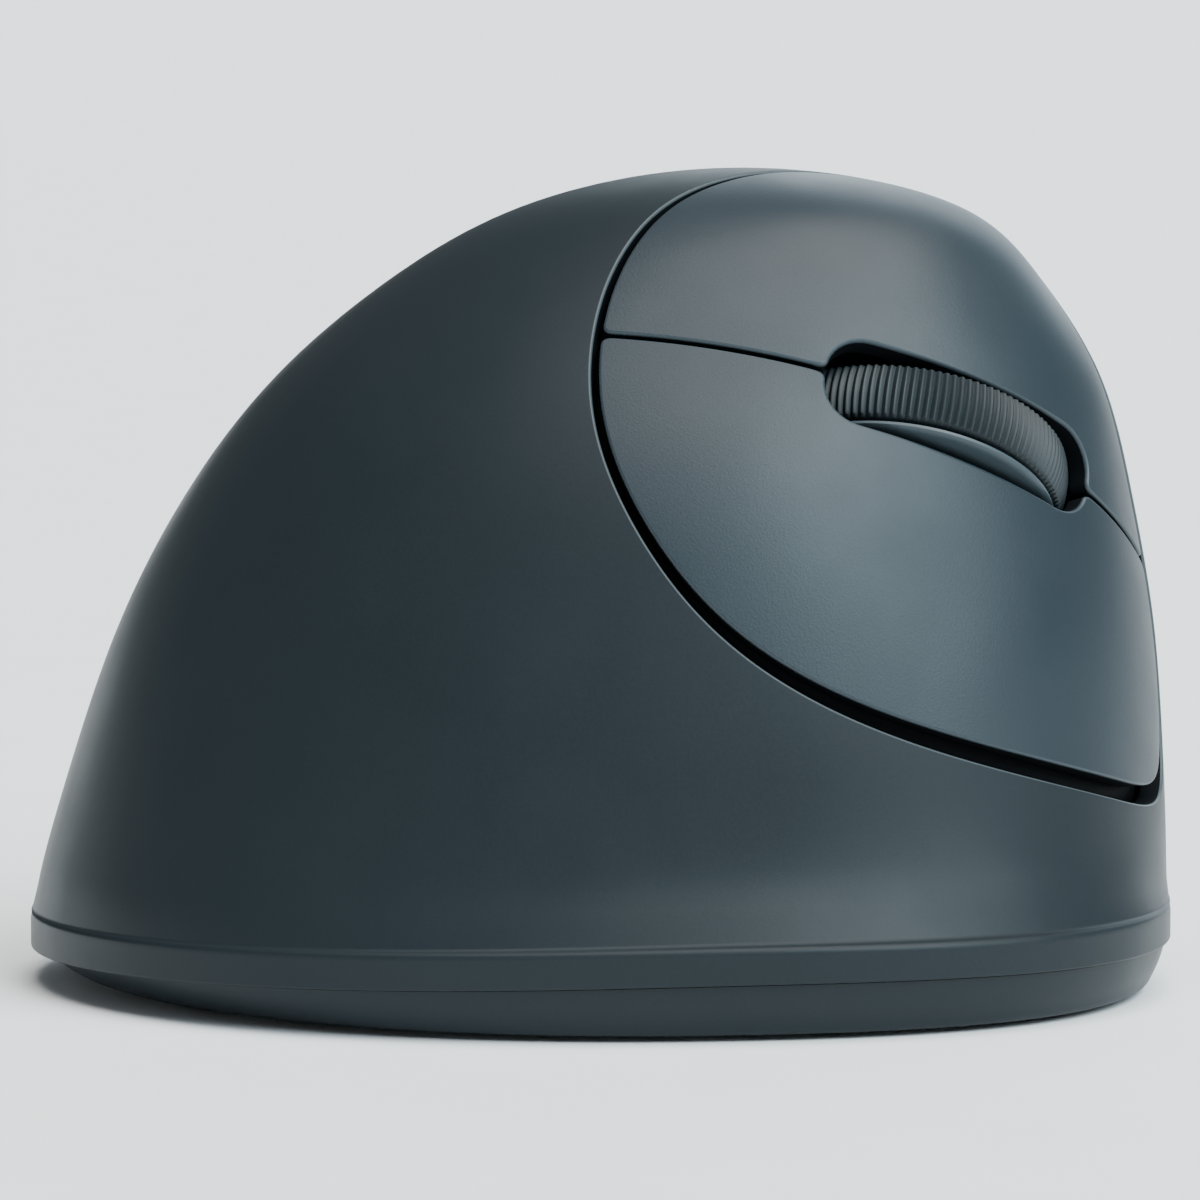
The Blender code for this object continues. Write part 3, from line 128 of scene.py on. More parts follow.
# Rings of points along the rim, by how far inside it they lie; the last one is on the band.
RIM_RINGS = (2.2, 1.6, 1.0, CREASE, CREASE / 2, 0.0, -CREASE)
RIM_POINTS, RING_ROOM = 560, 0.2        # points in each of those rings, and their room from edges
RIM_ROLL = 0.55          # how far the skin's shading turns level just above the crease
LINING_LEVEL = (0.8, 0.17)              # depth from which a lining turns level, and over how much
# A rolled edge along a gap gets a lighter look, a painted highlight; the wall below it a near-black
# look, a painted shade.
SURFACE, ROLLED_HIGHLIGHT, GAP_WALL_PAINTED_SHADE = 0, 1, 2     # the material slots of a patch's faces
LEDGE_PROFILE = ((0.25, 2.3), (-2.6, 2.3), (-2.6, 3.1), (0.25, 3.1))
BASE_COLUMNS, BASE_ROWS, UNDERSIDE = 240, 21, -0.9999    # the last is what counts as facing down
SHARP_EDGE, BASE_SHARP_EDGE = 32, 30    # degrees

# ---------------------------------------------------------------- wheel, as (radius, height)
RIB_COUNT, RIB_DEPTH, RIB_POWER, RIB_POINTS = 124, 0.28, 0.8, 8
TREAD_Q, TREAD_ROWS = (-2.3, 2.55), 31
TREAD_CROWN, TREAD_SHOULDER, TREAD_INNER, RIBS_FROM = 0.5, 0.3, 11.6, 12.0
HUB_COLUMNS = 180
NEAR_FLANK = ((1.3, 3.3), (2.4, 3.3), (2.6, 3.1), (2.8, 2.6), (5.0, 2.6), (6.6, 2.95), (8.0, 3.15),
              (10.6, 3.24), (12.1, 3.22), (12.5, 3.14), (12.72, 2.96), (12.7, 2.72), (12.5, 2.62),
              (11.5, 2.6), (11.5, 1.9))
FAR_FLANK = ((1.3, 3.3), (2.4, 3.3), (2.6, 3.1), (2.8, 2.6), (5.0, 2.6), (7.0, 2.45), (11.8, 2.45),
             (11.5, 1.9))


# ================================================================ splines and skin
def second_differences(count):
    """Matrix that turns the values of a closed curve into the bends of its cubic spline."""
    unit = np.eye(count)
    ring = 4 * unit + np.roll(unit, 1, 0) + np.roll(unit, -1, 0)
    return np.linalg.solve(ring, 6 * (np.roll(unit, 1, 0) + np.roll(unit, -1, 0) - 2 * unit))


def ring_weights(angles, count=8):
    """How much each of a closed curve's values counts at each angle."""
    unit, bend = np.eye(count), second_differences(count)
    turn = np.asarray(angles) / math.tau * count
    i = np.floor(turn).astype(int) % count
    j = (i + 1) % count
    after = (turn - np.floor(turn))[:, None]
    before = 1 - after
    curve = (before**3 - before) * bend[i] + (after**3 - after) * bend[j]
    return before * unit[i] + after * unit[j] + curve / 6


KNOTS = np.sqrt((TOP_Z - np.array(SKIN_LEVELS)) / (TOP_Z - RIM_Z))


def natural_bends(knots, rows):
    """The bends of the natural cubic spline through rows."""
    count, step = len(knots), np.diff(knots)
    system, right = np.eye(count), np.zeros_like(rows)
    for i in range(1, count - 1):
        system[i, i - 1:i + 2] = step[i - 1], 2 * (step[i - 1] + step[i]), step[i]
        right[i] = 6 * ((rows[i + 1] - rows[i]) / step[i] - (rows[i] - rows[i - 1]) / step[i - 1])
    return np.linalg.solve(system, right)


LEVEL_BENDS = natural_bends(KNOTS, SKIN_RADII)


def spline_rows(knots, rows, bends, at):
    """Natural cubic spline through rows, read at each value of at."""
    i = np.clip(np.searchsorted(knots, at) - 1, 0, len(knots) - 2)
    span = (knots[i + 1] - knots[i])[:, None]
    after = (at - knots[i])[:, None] / span
    before = 1 - after
    curve = (before**3 - before) * bends[i] + (after**3 - after) * bends[i + 1]
    return rows[i] * before + rows[i + 1] * after + curve * span**2 / 6


def radius_at(angles, depths):
    """The skin's distance from the crest axis."""
    return (ring_weights(angles) * spline_rows(KNOTS, SKIN_RADII, LEVEL_BENDS, depths)).sum(1)


def rim_at(angles):
    """The rim's height: a little more on the finger side, and less at the heel."""
    return RIM_Z + ring_weights(angles) @ RIM_WAVE


def smooth(share):
    """A share held between 0 and 1, easing in and out."""
    share = np.clip(share, 0, 1)
    return share * share * (3 - 2 * share)


def skin(uv, band=None):
    """Skin over points of the disc. Depth 1 is the rim, and past it comes the upright band.

    band says which points lie on the band, where a point of the rim itself could be either.
    """
    angles, depths = np.arctan2(uv[:, 1], uv[:, 0]), np.hypot(uv[:, 0], uv[:, 1]) / DISC
    band = depths > 1 if band is None else band
    radii = radius_at(angles, np.where(band, 1.0, depths))
    rim = rim_at(angles)
    z = np.where(band, rim - (depths - 1) * DISC, TOP_Z - (TOP_Z - rim) * depths**2)
    return np.stack([CREST_X + radii * np.cos(angles), CREST_Y + radii * np.sin(angles), z], -1)


def to_disc(points):
    """The disc's coordinates of points on the skin."""
    angles = np.arctan2(points[:, 1] - CREST_Y, points[:, 0] - CREST_X)
    rim, z = rim_at(angles), points[:, 2]
    above = np.sqrt(np.clip((TOP_Z - z) / (TOP_Z - rim), 0, None))
    depths = np.where(z > rim, above, 1 + (rim - z) / DISC)
    return (depths * DISC)[:, None] * np.stack([np.cos(angles), np.sin(angles)], -1)


def hit(origins, direction, reach):
    """Where rays from outside the body first meet its skin, on the disc."""
    low, high = np.zeros(len(origins)), np.full(len(origins), float(reach))
    for _ in range(HALVINGS):
        middle = (low + high) / 2
        p = origins + middle[:, None] * direction
        across = p[:, :2] - (CREST_X, CREST_Y)
        angles = np.arctan2(across[:, 1], across[:, 0])
        depths = np.sqrt(np.clip((TOP_Z - p[:, 2]) / (TOP_Z - rim_at(angles)), 0, 1))
        inside = (np.hypot(*across.T) < radius_at(angles, depths)) & (p[:, 2] < TOP_Z)
        high, low = np.where(inside, middle, high), np.where(inside, low, middle)
    return to_disc(origins + high[:, None] * direction)


# ================================================================ the finger frame
def face_axes():
    """The finger frame's directions: forward, up the face, and out of it."""
    azimuth, elevation, pitch = np.radians((FACE_AZIMUTH, FACE_ELEVATION, FINGER_PITCH))
    out = np.array((math.cos(elevation) * math.cos(azimuth),
                    math.cos(elevation) * math.sin(azimuth), math.sin(elevation)))
    level = np.array((-math.sin(azimuth), math.cos(azimuth), 0.0))
    forward = level * math.cos(pitch) + np.cross(out, level) * math.sin(pitch)
    return forward, np.cross(out, forward), out


FORWARD, UPWARD, OUTWARD = face_axes()


def from_face(pq):
    """Points of the finger face's plane, dropped onto the skin."""
    above, reach = FACE_RAY
    start = FACE_ORIGIN + pq[:, :1] * FORWARD + pq[:, 1:] * UPWARD + above * OUTWARD
    return hit(start, -OUTWARD, reach)


def from_side(yz):
    """Points seen from the thumb side, moved across onto the skin."""
    return hit(np.column_stack([np.full(len(yz), SIDE_RAY_X), yz]), np.array((1.0, 0.0, 0.0)),
               THUMB_INNER_X - SIDE_RAY_X)


def across_face(p, q, n):
    """A frame in the finger frame whose Z axis runs along q, as the wheel's axle does."""
    place = Matrix((OUTWARD, FORWARD, UPWARD)).transposed().to_4x4()
    place.translation = Vector(FACE_ORIGIN + FORWARD * p + UPWARD * q + OUTWARD * n) * MM
    return place


# ================================================================ outlines
def respaced(line, spacing, closed=True):
    """The same line with its points evenly spaced."""
    line = np.vstack([line, line[:1]]) if closed else line
    along = np.concatenate([[0], np.cumsum(np.linalg.norm(np.diff(line, axis=0), axis=1))])
    count = max(2, int(round(along[-1] / spacing)))
    at = np.linspace(0, along[-1], count + 1)
    at = at[:-1] if closed else at
    return np.column_stack([np.interp(at, along, line[:, k]) for k in (0, 1)])


def softened(loop, reach, spacing=EDGE):
    """A closed loop, anticlockwise, with each sharp corner rounded off within reach of it."""
    x, y = loop.T
    if (x * np.roll(y, -1) - y * np.roll(x, -1)).sum() < 0:
        loop = loop[::-1]
    before, after = loop - np.roll(loop, 1, 0), np.roll(loop, -1, 0) - loop
    turn = np.arctan2(before[:, 0] * after[:, 1] - before[:, 1] * after[:, 0],
                      (before * after).sum(1))
    sharp = np.nonzero(np.abs(turn) > math.radians(SHARP_TURN))[0]
    if not len(sharp):
        return respaced(loop, spacing)
    runs = []
    for start, end in zip(sharp, np.roll(sharp, -1)):
        picked = np.arange(start, end + 1 if end > start else end + 1 + len(loop)) % len(loop)
        line = respaced(loop[picked], SOFTEN_STEP, closed=False)
        trim = int(round(reach / SOFTEN_STEP))
        runs.append(line[trim:-trim])
    out = []
    for k, run in enumerate(runs):
        corner, ahead = loop[sharp[(k + 1) % len(sharp)]], runs[(k + 1) % len(runs)][0]
        t = np.linspace(0, 1, SOFTEN_POINTS)[1:-1, None]
        out += [respaced(run, spacing, closed=False),
                run[-1] * (1 - t) ** 2 + 2 * corner * t * (1 - t) + ahead * t**2]
    return np.vstack(out)


def button_outline(gap_share):
    """Outline of both buttons; gap_share 0.5 is the opening's edge and -0.5 the buttons' edge."""
    angles, corners = np.arange(OUTLINE_POINTS) * math.tau / OUTLINE_POINTS, len(BUTTON_EDGE)
    edge = ring_weights(angles, corners) @ BUTTON_EDGE
    along = (ring_weights(angles + STEP, corners)
             - ring_weights(angles - STEP, corners)) @ BUTTON_EDGE
    out = np.stack([along[:, 1], -along[:, 0]], -1)
    out /= np.linalg.norm(out, axis=1, keepdims=True)
    seen = edge - BUTTON_CENTRE
    turn = np.arctan2(seen[:, 1], seen[:, 0]) - math.radians(GAP_WIDEST)
    gap = BUTTON_GAP[0] + (BUTTON_GAP[1] - BUTTON_GAP[0]) * np.cos(turn / 2) ** 4
    return edge + out * (gap_share * gap)[:, None]


def rounded_rectangle(x, y, corner, points=CORNER_POINTS):
    """A rectangle between two values of x and two of y, with points at each round corner."""
    outline = []
    for cx, cy, start in ((x[1], y[1], 0), (x[0], y[1], 90), (x[0], y[0], 180), (x[1], y[0], 270)):
        inward = (-corner if cx == x[1] else corner, -corner if cy == y[1] else corner)
        outline += [(cx + inward[0] + corner * math.cos(a), cy + inward[1] + corner * math.sin(a))
                    for a in np.radians(start + np.linspace(0, 90, points))]
    return np.array(outline)


def kept_run(loop, height):
    """The part of a closed loop where height is above 0, ending exactly where it is 0."""
    value = height(loop)
    start = next(k for k in range(len(loop)) if value[k] > 0 >= value[k - 1])
    order = (np.arange(len(loop)) + start) % len(loop)
    run = [k for k in order if value[k] > 0]

    def crossing(a, b):
        share = value[a] / (value[a] - value[b])
        return loop[a] + (loop[b] - loop[a]) * share
    first = crossing(run[0], (run[0] - 1) % len(loop))
    last = crossing(run[-1], (run[-1] + 1) % len(loop))
    return np.vstack([first, loop[run], last])


SLOT = rounded_rectangle(SLOT_P, (-SLOT_HALF_WIDTH, SLOT_HALF_WIDTH), SLOT_CORNER)


def button_loop(above):
    """Outline of one button: its share of the outline, the divider and the wheel's slot."""
    side = 1.0 if above else -1.0

    def height(pq):
        line = DIVIDER_AT_WHEEL + DIVIDER_SLOPE * pq[:, 0] + side * DIVIDER_GAP / 2
        return side * (pq[:, 1] - line)
    outer = kept_run(button_outline(-0.5), height)
    slot = kept_run(respaced(SLOT, FINE_EDGE), height)
    if np.linalg.norm(outer[-1] - slot[0]) > np.linalg.norm(outer[-1] - slot[-1]):
        slot = slot[::-1]
    return softened(np.vstack([outer, slot]), BUTTON_CORNER)


def near_slot(pq):
    """1 along the wheel's slot, falling to 0 a little away from it."""
    away = np.linalg.norm(pq[:, None] - respaced(SLOT, FINE_EDGE)[None], axis=2).min(1)
    return smooth((SLOT_FADE_END - away) / SLOT_FADE)


def arch_line(grow):
    """The thumb panel's edge on the disc, from its front foot over the top to its rear foot."""
    half, top = THUMB_HALF_LENGTH + grow, THUMB_TOP_Z + grow
    a = np.linspace(0.0, math.pi, ARCH_POINTS)
    y = THUMB_CENTRE_Y + half * np.copysign(np.abs(np.cos(a)) ** (2 / THUMB_POWER), np.cos(a))
    z = top * np.sin(a).clip(0) ** (2 / THUMB_POWER)
    line = from_side(np.column_stack([y, z])[z > ARCH_FOOT_Z])
    deepest = DISC + BAND_HEIGHT
    inside = np.nonzero(np.linalg.norm(line, axis=1) < deepest)[0]
    ends = []
    for k, m in ((inside[0], inside[0] - 1), (inside[-1], inside[-1] + 1)):
        far, near = np.linalg.norm(line[m]), np.linalg.norm(line[k])
        ends.append(line[k] + (line[m] - line[k]) * (deepest - near) / (far - near))
    return respaced(np.vstack([ends[0], line[inside], ends[1]]), FINE_EDGE, closed=False)


def rim_arc(start, end, turn):
    """Points along the band's foot from start to end, anticlockwise where turn is above 0."""
    a, b = (math.atan2(p[1], p[0]) for p in (start, end))
    b = a + (b - a) % math.tau if turn > 0 else a - (a - b) % math.tau
    angles = np.linspace(a, b, 2 + int(abs(b - a) * DISC / FINE_EDGE))[1:-1]
    return (DISC + BAND_HEIGHT) * np.column_stack([np.cos(angles), np.sin(angles)])


# ================================================================ patches of the skin
def differences(surface, uv):
    """How a surface over the disc moves with each of its two coordinates, clear of the crease."""
    band = np.hypot(*uv.T) > DISC
    return [(surface(uv + move, band) - surface(uv - move, band)) / (2 * STEP)
            for move in STEP * np.eye(2)]


def unit(vectors):
    return vectors / np.maximum(np.linalg.norm(vectors, axis=-1, keepdims=True), 1e-12)


def normals_of(surface, uv):
    """The surface's outward directions over points of the disc."""
    return unit(np.cross(*differences(surface, uv)))


def band_normals(surface, uv):
    """The normals of the upright band below each point."""
    return normals_of(surface, unit(uv) * (DISC + 1.0))


def lining_normals(surface, uv):
    """Normals that turn level before the crease, so that a wall's inner side doesn't fold."""
    radius = np.hypot(*uv.T)
    start, length = LINING_LEVEL
    share = smooth((radius / DISC - start) / length)[:, None]
    above_rim = normals_of(surface, unit(uv) * np.minimum(radius, DISC * ABOVE_RIM)[:, None])
    return unit(above_rim * (1 - share) + band_normals(surface, uv) * share)


def inside_loops(points, loops):
    """True for each point that an odd number of the loops' crossings lies to the right of."""
    odd = np.zeros(len(points), bool)
    for loop in loops:
        a, b = loop, np.roll(loop, -1, 0)
        for start in range(0, len(points), CHUNK):
            p = points[start:start + CHUNK]
            spans = (a[None, :, 1] > p[:, 1:]) != (b[None, :, 1] > p[:, 1:])
            rise = np.where(b[:, 1] == a[:, 1], 1.0, b[:, 1] - a[:, 1])
            x = a[:, 0] + (p[:, 1:] - a[:, 1]) * (b[:, 0] - a[:, 0]) / rise
            odd[start:start + CHUNK] ^= ((spans & (p[:, :1] < x)).sum(1) % 2).astype(bool)
    return odd


def clear_of(points, others, gap):
    """True for each point that is further than gap from all the others."""
    away = [np.linalg.norm(points[start:start + CHUNK, None] - others[None], axis=2).min(1)
            for start in range(0, len(points), CHUNK)]
    return np.concatenate(away) > gap


def staggered(low, high, spacing):
    """Points over a rectangle, each row half a step aside from the one before."""
    rows = np.arange(low[1], high[1], spacing * math.sqrt(3) / 2)
    across = np.arange(low[0], high[0], spacing)
    return np.vstack([np.column_stack([across + spacing / 2 * (k % 2), np.full(len(across), v)])
                      for k, v in enumerate(rows)])


def make_mesh(name, points, faces, normals, slot, body, nodes, material, kinds=None):
    """An object from points in millimetres, with the normals of the surface it stands for.

    kinds holds the kind of each face: plain surface, rolled edge or gap wall. The rolled edge
    gets a lighter look, a painted highlight, and the gap wall a near-black look, a painted shade.
    """
    mesh = bpy.data.meshes.new(name)
    faces = [tuple(int(k) for k in face) for face in faces]
    mesh.from_pydata([Vector(p) * MM for p in points], [], faces)
    mesh.materials.append(material)
    if kinds is not None and max(kinds):
        # Slot 1 holds the painted highlight look for rolled edges, slot 2 the painted shade look for
        # gap walls.
        mesh.materials.append(EDGE_HIGHLIGHT_LOOKS[slot])
        mesh.materials.append(PAINTED_SHADE_LOOK)
        mesh.polygons.foreach_set("material_index", kinds)
    mesh.validate()
    mesh.shade_smooth()
    if normals is not None:
        mesh.normals_split_custom_set_from_vertices([tuple(n) for n in normals])
    thing = bpy.data.objects.new(name, mesh)
    bpy.context.scene.collection.objects.link(thing)
    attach(thing, body)
    if nodes:
        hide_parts(*nodes)
    return thing


def patch(name, loops, rounds, surface, slot, body, nodes, material, crease=False, painted_gaps=()):
    """A closed piece of shell over the region inside the loops, its edges rolled over.

    Each loop has the region on its left, and rounds gives the radius its edge is rolled over by.
    gaps lists the loops along a gap: their rolled edges get a lighter look, a painted highlight,
    and their walls a near-black look, a painted shade.
    """
    insets, edges = [], []
    for loop, roll in zip(loops, rounds):
        roll = np.broadcast_to(roll, len(loop))[:, None]
        here, out = surface(loop), normals_of(surface, loop)
        along = unit(np.roll(here, -1, 0) - np.roll(here, 1, 0))
        inward = unit(np.cross(out, along))
        du, dv = differences(surface, loop)
        both = (du * dv).sum(1)
        system = np.array([[(du * du).sum(1), both], [both, (dv * dv).sum(1)]])
        wanted = np.stack([(du * inward * roll).sum(1), (dv * inward * roll).sum(1)], -1)
        move = np.linalg.solve(system.transpose(2, 0, 1), wanted[:, :, None])[:, :, 0]
        insets.append(loop + move)
        edges.append((here, out, inward, roll))

    border = np.vstack(insets)
    low, high = border.min(0), border.max(0)
    coarse, fine = staggered(low, high, GRID), staggered(low, high, RIM_GRID)
    fine_from = RIM_GRID_FROM * DISC
    coarse = coarse[np.hypot(*coarse.T) < fine_from - GRID / 2]
    fine = fine[np.hypot(*fine.T) > fine_from]
    grid = np.vstack([coarse, fine])
    grid = grid[inside_loops(grid, insets)]
    room = np.where(np.hypot(*grid.T) < fine_from, GRID, RIM_GRID)
    grid = grid[clear_of(grid, border, GRID_ROOM * room)]
    extra, links = np.zeros((0, 2)), []
    if crease:
        ring = np.arange(RIM_POINTS) * math.tau / RIM_POINTS
        for inside in RIM_RINGS:
            points = (DISC - inside) * np.column_stack([np.cos(ring), np.sin(ring)])
            keep = inside_loops(points, insets) & clear_of(points, border, RING_ROOM)
            number = np.cumsum(keep) - 1 + len(extra) + len(border)
            links += [(number[k], number[(k + 1) % RIM_POINTS]) for k in range(RIM_POINTS)
                      if keep[k] and keep[(k + 1) % RIM_POINTS]]
            extra = np.vstack([extra, points[keep]])
        depth = DISC - np.hypot(*grid.T)
        clear = RINGS_ROOM * RIM_GRID
        grid = grid[(depth > RIM_RINGS[0] + clear) | (depth < -clear)]

    flat, start = np.vstack([border, extra, grid]), 0
    for loop in insets:
        links += [(start + k, start + (k + 1) % len(loop)) for k in range(len(loop))]
        start += len(loop)
    result = delaunay_2d_cdt([Vector(p) for p in flat], links, [], 0, 1e-7)
    if len(result[0]) != len(flat):
        raise ValueError(f"{name}: its edge crosses itself")
    triangles = np.array(result[2])
    triangles = triangles[inside_loops(flat[triangles].mean(1), insets)]

    top, up = surface(flat), normals_of(surface, flat)
    if crease:
        close, depth = 1e-6, DISC - np.hypot(*flat.T)
        on_rim, on_bead = np.abs(depth) < close, np.abs(depth - CREASE / 2) < close
        level = normals_of(surface, flat * (1 + close))
        steep = normals_of(surface, flat * (1 - close))
        share = RIM_ROLL * smooth((RIM_RINGS[0] - depth) / (RIM_RINGS[0] - CREASE))
        share = np.where(depth > close, share, 0.0)[:, None]
        up = unit(up + share * band_normals(surface, flat))
        up[on_rim] = unit(level + steep)[on_rim]
        top[on_rim] -= CREASE_DROP * up[on_rim]
        top[on_bead] += BEAD_RISE * up[on_bead]
        up[on_bead] = unit(up[on_bead] + (0.0, 0.0, BEAD_TILT))
    under = lining_normals(surface, flat) if crease else up
    count = len(flat)
    points, normals = [top, top - SHELL_THICK * under], [up, -under]
    faces = list(triangles) + list(triangles[:, ::-1] + count)
    kinds = [SURFACE] * len(faces)
    filled, start = 2 * count, 0
    for number, (loop, (here, out, inward, roll)) in enumerate(zip(loops, edges)):
        size = len(loop)
        into = lining_normals(surface, loop) if crease else out
        rings = [start + np.arange(size)]
        for turn in np.radians(ROLL_TURNS):
            up_share, side_share = math.sin(turn), math.cos(turn)
            points.append(here + inward * roll * (1 - side_share) - out * roll * (1 - up_share))
            normals.append(unit(out * up_share - inward * side_share))
            rings.append(filled + np.arange(size))
            filled += size
        points.append(here - SHELL_THICK * into)
        normals.append(-inward)
        rings.append(filled + np.arange(size))
        filled += size
        rings.append(count + start + np.arange(size))
        for level, (a, b) in enumerate(zip(rings, rings[1:])):
            faces += [(a[k], b[k], b[(k + 1) % size], a[(k + 1) % size]) for k in range(size)]
            # Along a gap, the rolled edge takes the painted highlight look and the wall the painted
            # shade look.
            kind = SURFACE if level == 0 else ROLLED_HIGHLIGHT if level < len(ROLL_TURNS) else GAP_WALL_PAINTED_SHADE
            kinds += [kind if number in painted_gaps else SURFACE] * size
        start += size
    return make_mesh(name, np.vstack(points), faces, np.vstack(normals), slot, body, nodes, material,
                     kinds)


def swept(name, loop, surface, profile, slot, body, material):
    """A closed strip along a loop; profile is a closed outline of (across, depth)."""
    here, out = surface(loop), normals_of(surface, loop)
    inward = unit(np.cross(out, unit(np.roll(here, -1, 0) - np.roll(here, 1, 0))))
    points = np.vstack([here + across * inward - depth * out for across, depth in profile])
    size, sides = len(loop), len(profile)
    faces = []
    for k in range(size):
        m = (k + 1) % size
        for i in range(sides):
            a, b = i * size, (i + 1) % sides * size
            faces.append((a + k, a + m, b + m, b + k))
    return make_mesh(name, points, faces, None, slot, body, (), material)


# ================================================================ other shapes
def turned(name, profile, place, columns, slot, body, nodes, material, shrink=None):
    """A ring turned round place's Z axis from a closed outline of (radius, height).

    shrink gives how much is taken off each radius at each angle.
    """
    profile = np.array(profile)
    angles, sides = np.arange(columns) * math.tau / columns, len(profile)
    radii = np.broadcast_to(profile[:, 0], (columns, sides)).copy()
    if shrink is not None:
        radii -= shrink(angles[:, None], profile[None, :, 0])
    points = np.stack([radii * np.cos(angles)[:, None], radii * np.sin(angles)[:, None],
                       np.broadcast_to(profile[:, 1], radii.shape)], -1).reshape(-1, 3)
    spin = np.array(place.to_3x3())
    points = points @ spin.T + np.array(place.translation) / MM
    faces = []
    for i in range(columns):
        a, b = i * sides, (i + 1) % columns * sides
        faces += [(a + k, b + k, b + (k + 1) % sides, a + (k + 1) % sides) for k in range(sides)]
    outward(make_mesh(name, points, faces, None, slot, body, nodes, material))


def outward(thing, angle=SHARP_EDGE):
    """Turns every face outwards and marks the edges that are truly sharp."""
    work = bmesh.new()
    work.from_mesh(thing.data)
    bmesh.ops.recalc_face_normals(work, faces=work.faces)
    work.to_mesh(thing.data)
    work.free()
    thing.data.shade_smooth()
    thing.data.set_sharp_from_angle(angle=math.radians(angle))


def prism(outline, low, high):
    """A cutting tool: an outline extruded along Z, in millimetres."""
    work = bmesh.new()
    rings = [[work.verts.new(Vector((x, y, z)) * MM) for x, y in outline] for z in (low, high)]
    work.faces.new(rings[0][::-1])
    work.faces.new(rings[1])
    for k in range(len(outline)):
        m = (k + 1) % len(outline)
        work.faces.new((rings[0][k], rings[0][m], rings[1][m], rings[1][k]))
    bmesh.ops.recalc_face_normals(work, faces=work.faces)
    mesh = bpy.data.meshes.new("tool")
    work.to_mesh(mesh)
    work.free()
    tool = bpy.data.objects.new("tool", mesh)
    bpy.context.scene.collection.objects.link(tool)
    return tool


def rectangle(x, y, half_x, half_y, corner):
    return rounded_rectangle((x - half_x, x + half_x), (y - half_y, y + half_y), corner,
                             WINDOW_CORNER_POINTS)


def circle(x, y, radius):
    angles = np.arange(CIRCLE_POINTS) * math.tau / CIRCLE_POINTS
    return np.column_stack([x + radius * np.cos(angles), y + radius * np.sin(angles)])


def cut(thing, tool):
    """Cuts the tool out of the thing, and deletes the tool."""
    modifier = thing.modifiers.new("cut", "BOOLEAN")
    modifier.operation, modifier.object, modifier.solver = "DIFFERENCE", tool, "EXACT"
    bpy.context.view_layer.update()
    shaped = thing.evaluated_get(bpy.context.evaluated_depsgraph_get())
    made = bpy.data.meshes.new_from_object(shaped)
    thing.modifiers.clear()
    thing.data = made
    bpy.data.objects.remove(tool)


# ================================================================ finishes
def node(tree, kind, place, **settings):
    made = tree.nodes.new(kind)
    made.location = place
    for key, value in settings.items():
        setattr(made, key, value)
    return made


CLOUD_SCALE, CLOUD_DETAIL = 38.0, 4.0
SMEAR_SCALE, SMEAR_DETAIL = 90.0, 5.0   # of the uneven roughness
GRAIN_DETAIL, BUMP_HEIGHT = 2.0, 0.00004
NOISE_RANGE = (0.3, 0.7)                # the part of a noise's values that is spread out
MOTTLE, MOTTLE_LIGHT = 0.35, 1.35       # how much the grain lightens the colour
RUBBED_AND_HIGHLIT_EDGE = (0.53, 0.62)                # pointiness where edge lightening, partly rubbed and partly painted highlight, starts and is full
RUBBED_AND_HIGHLIT_ADDS, RUBBED_AND_HIGHLIT_TIMES = 0.03, 2.6
COAT_ROUGHNESS = 0.25


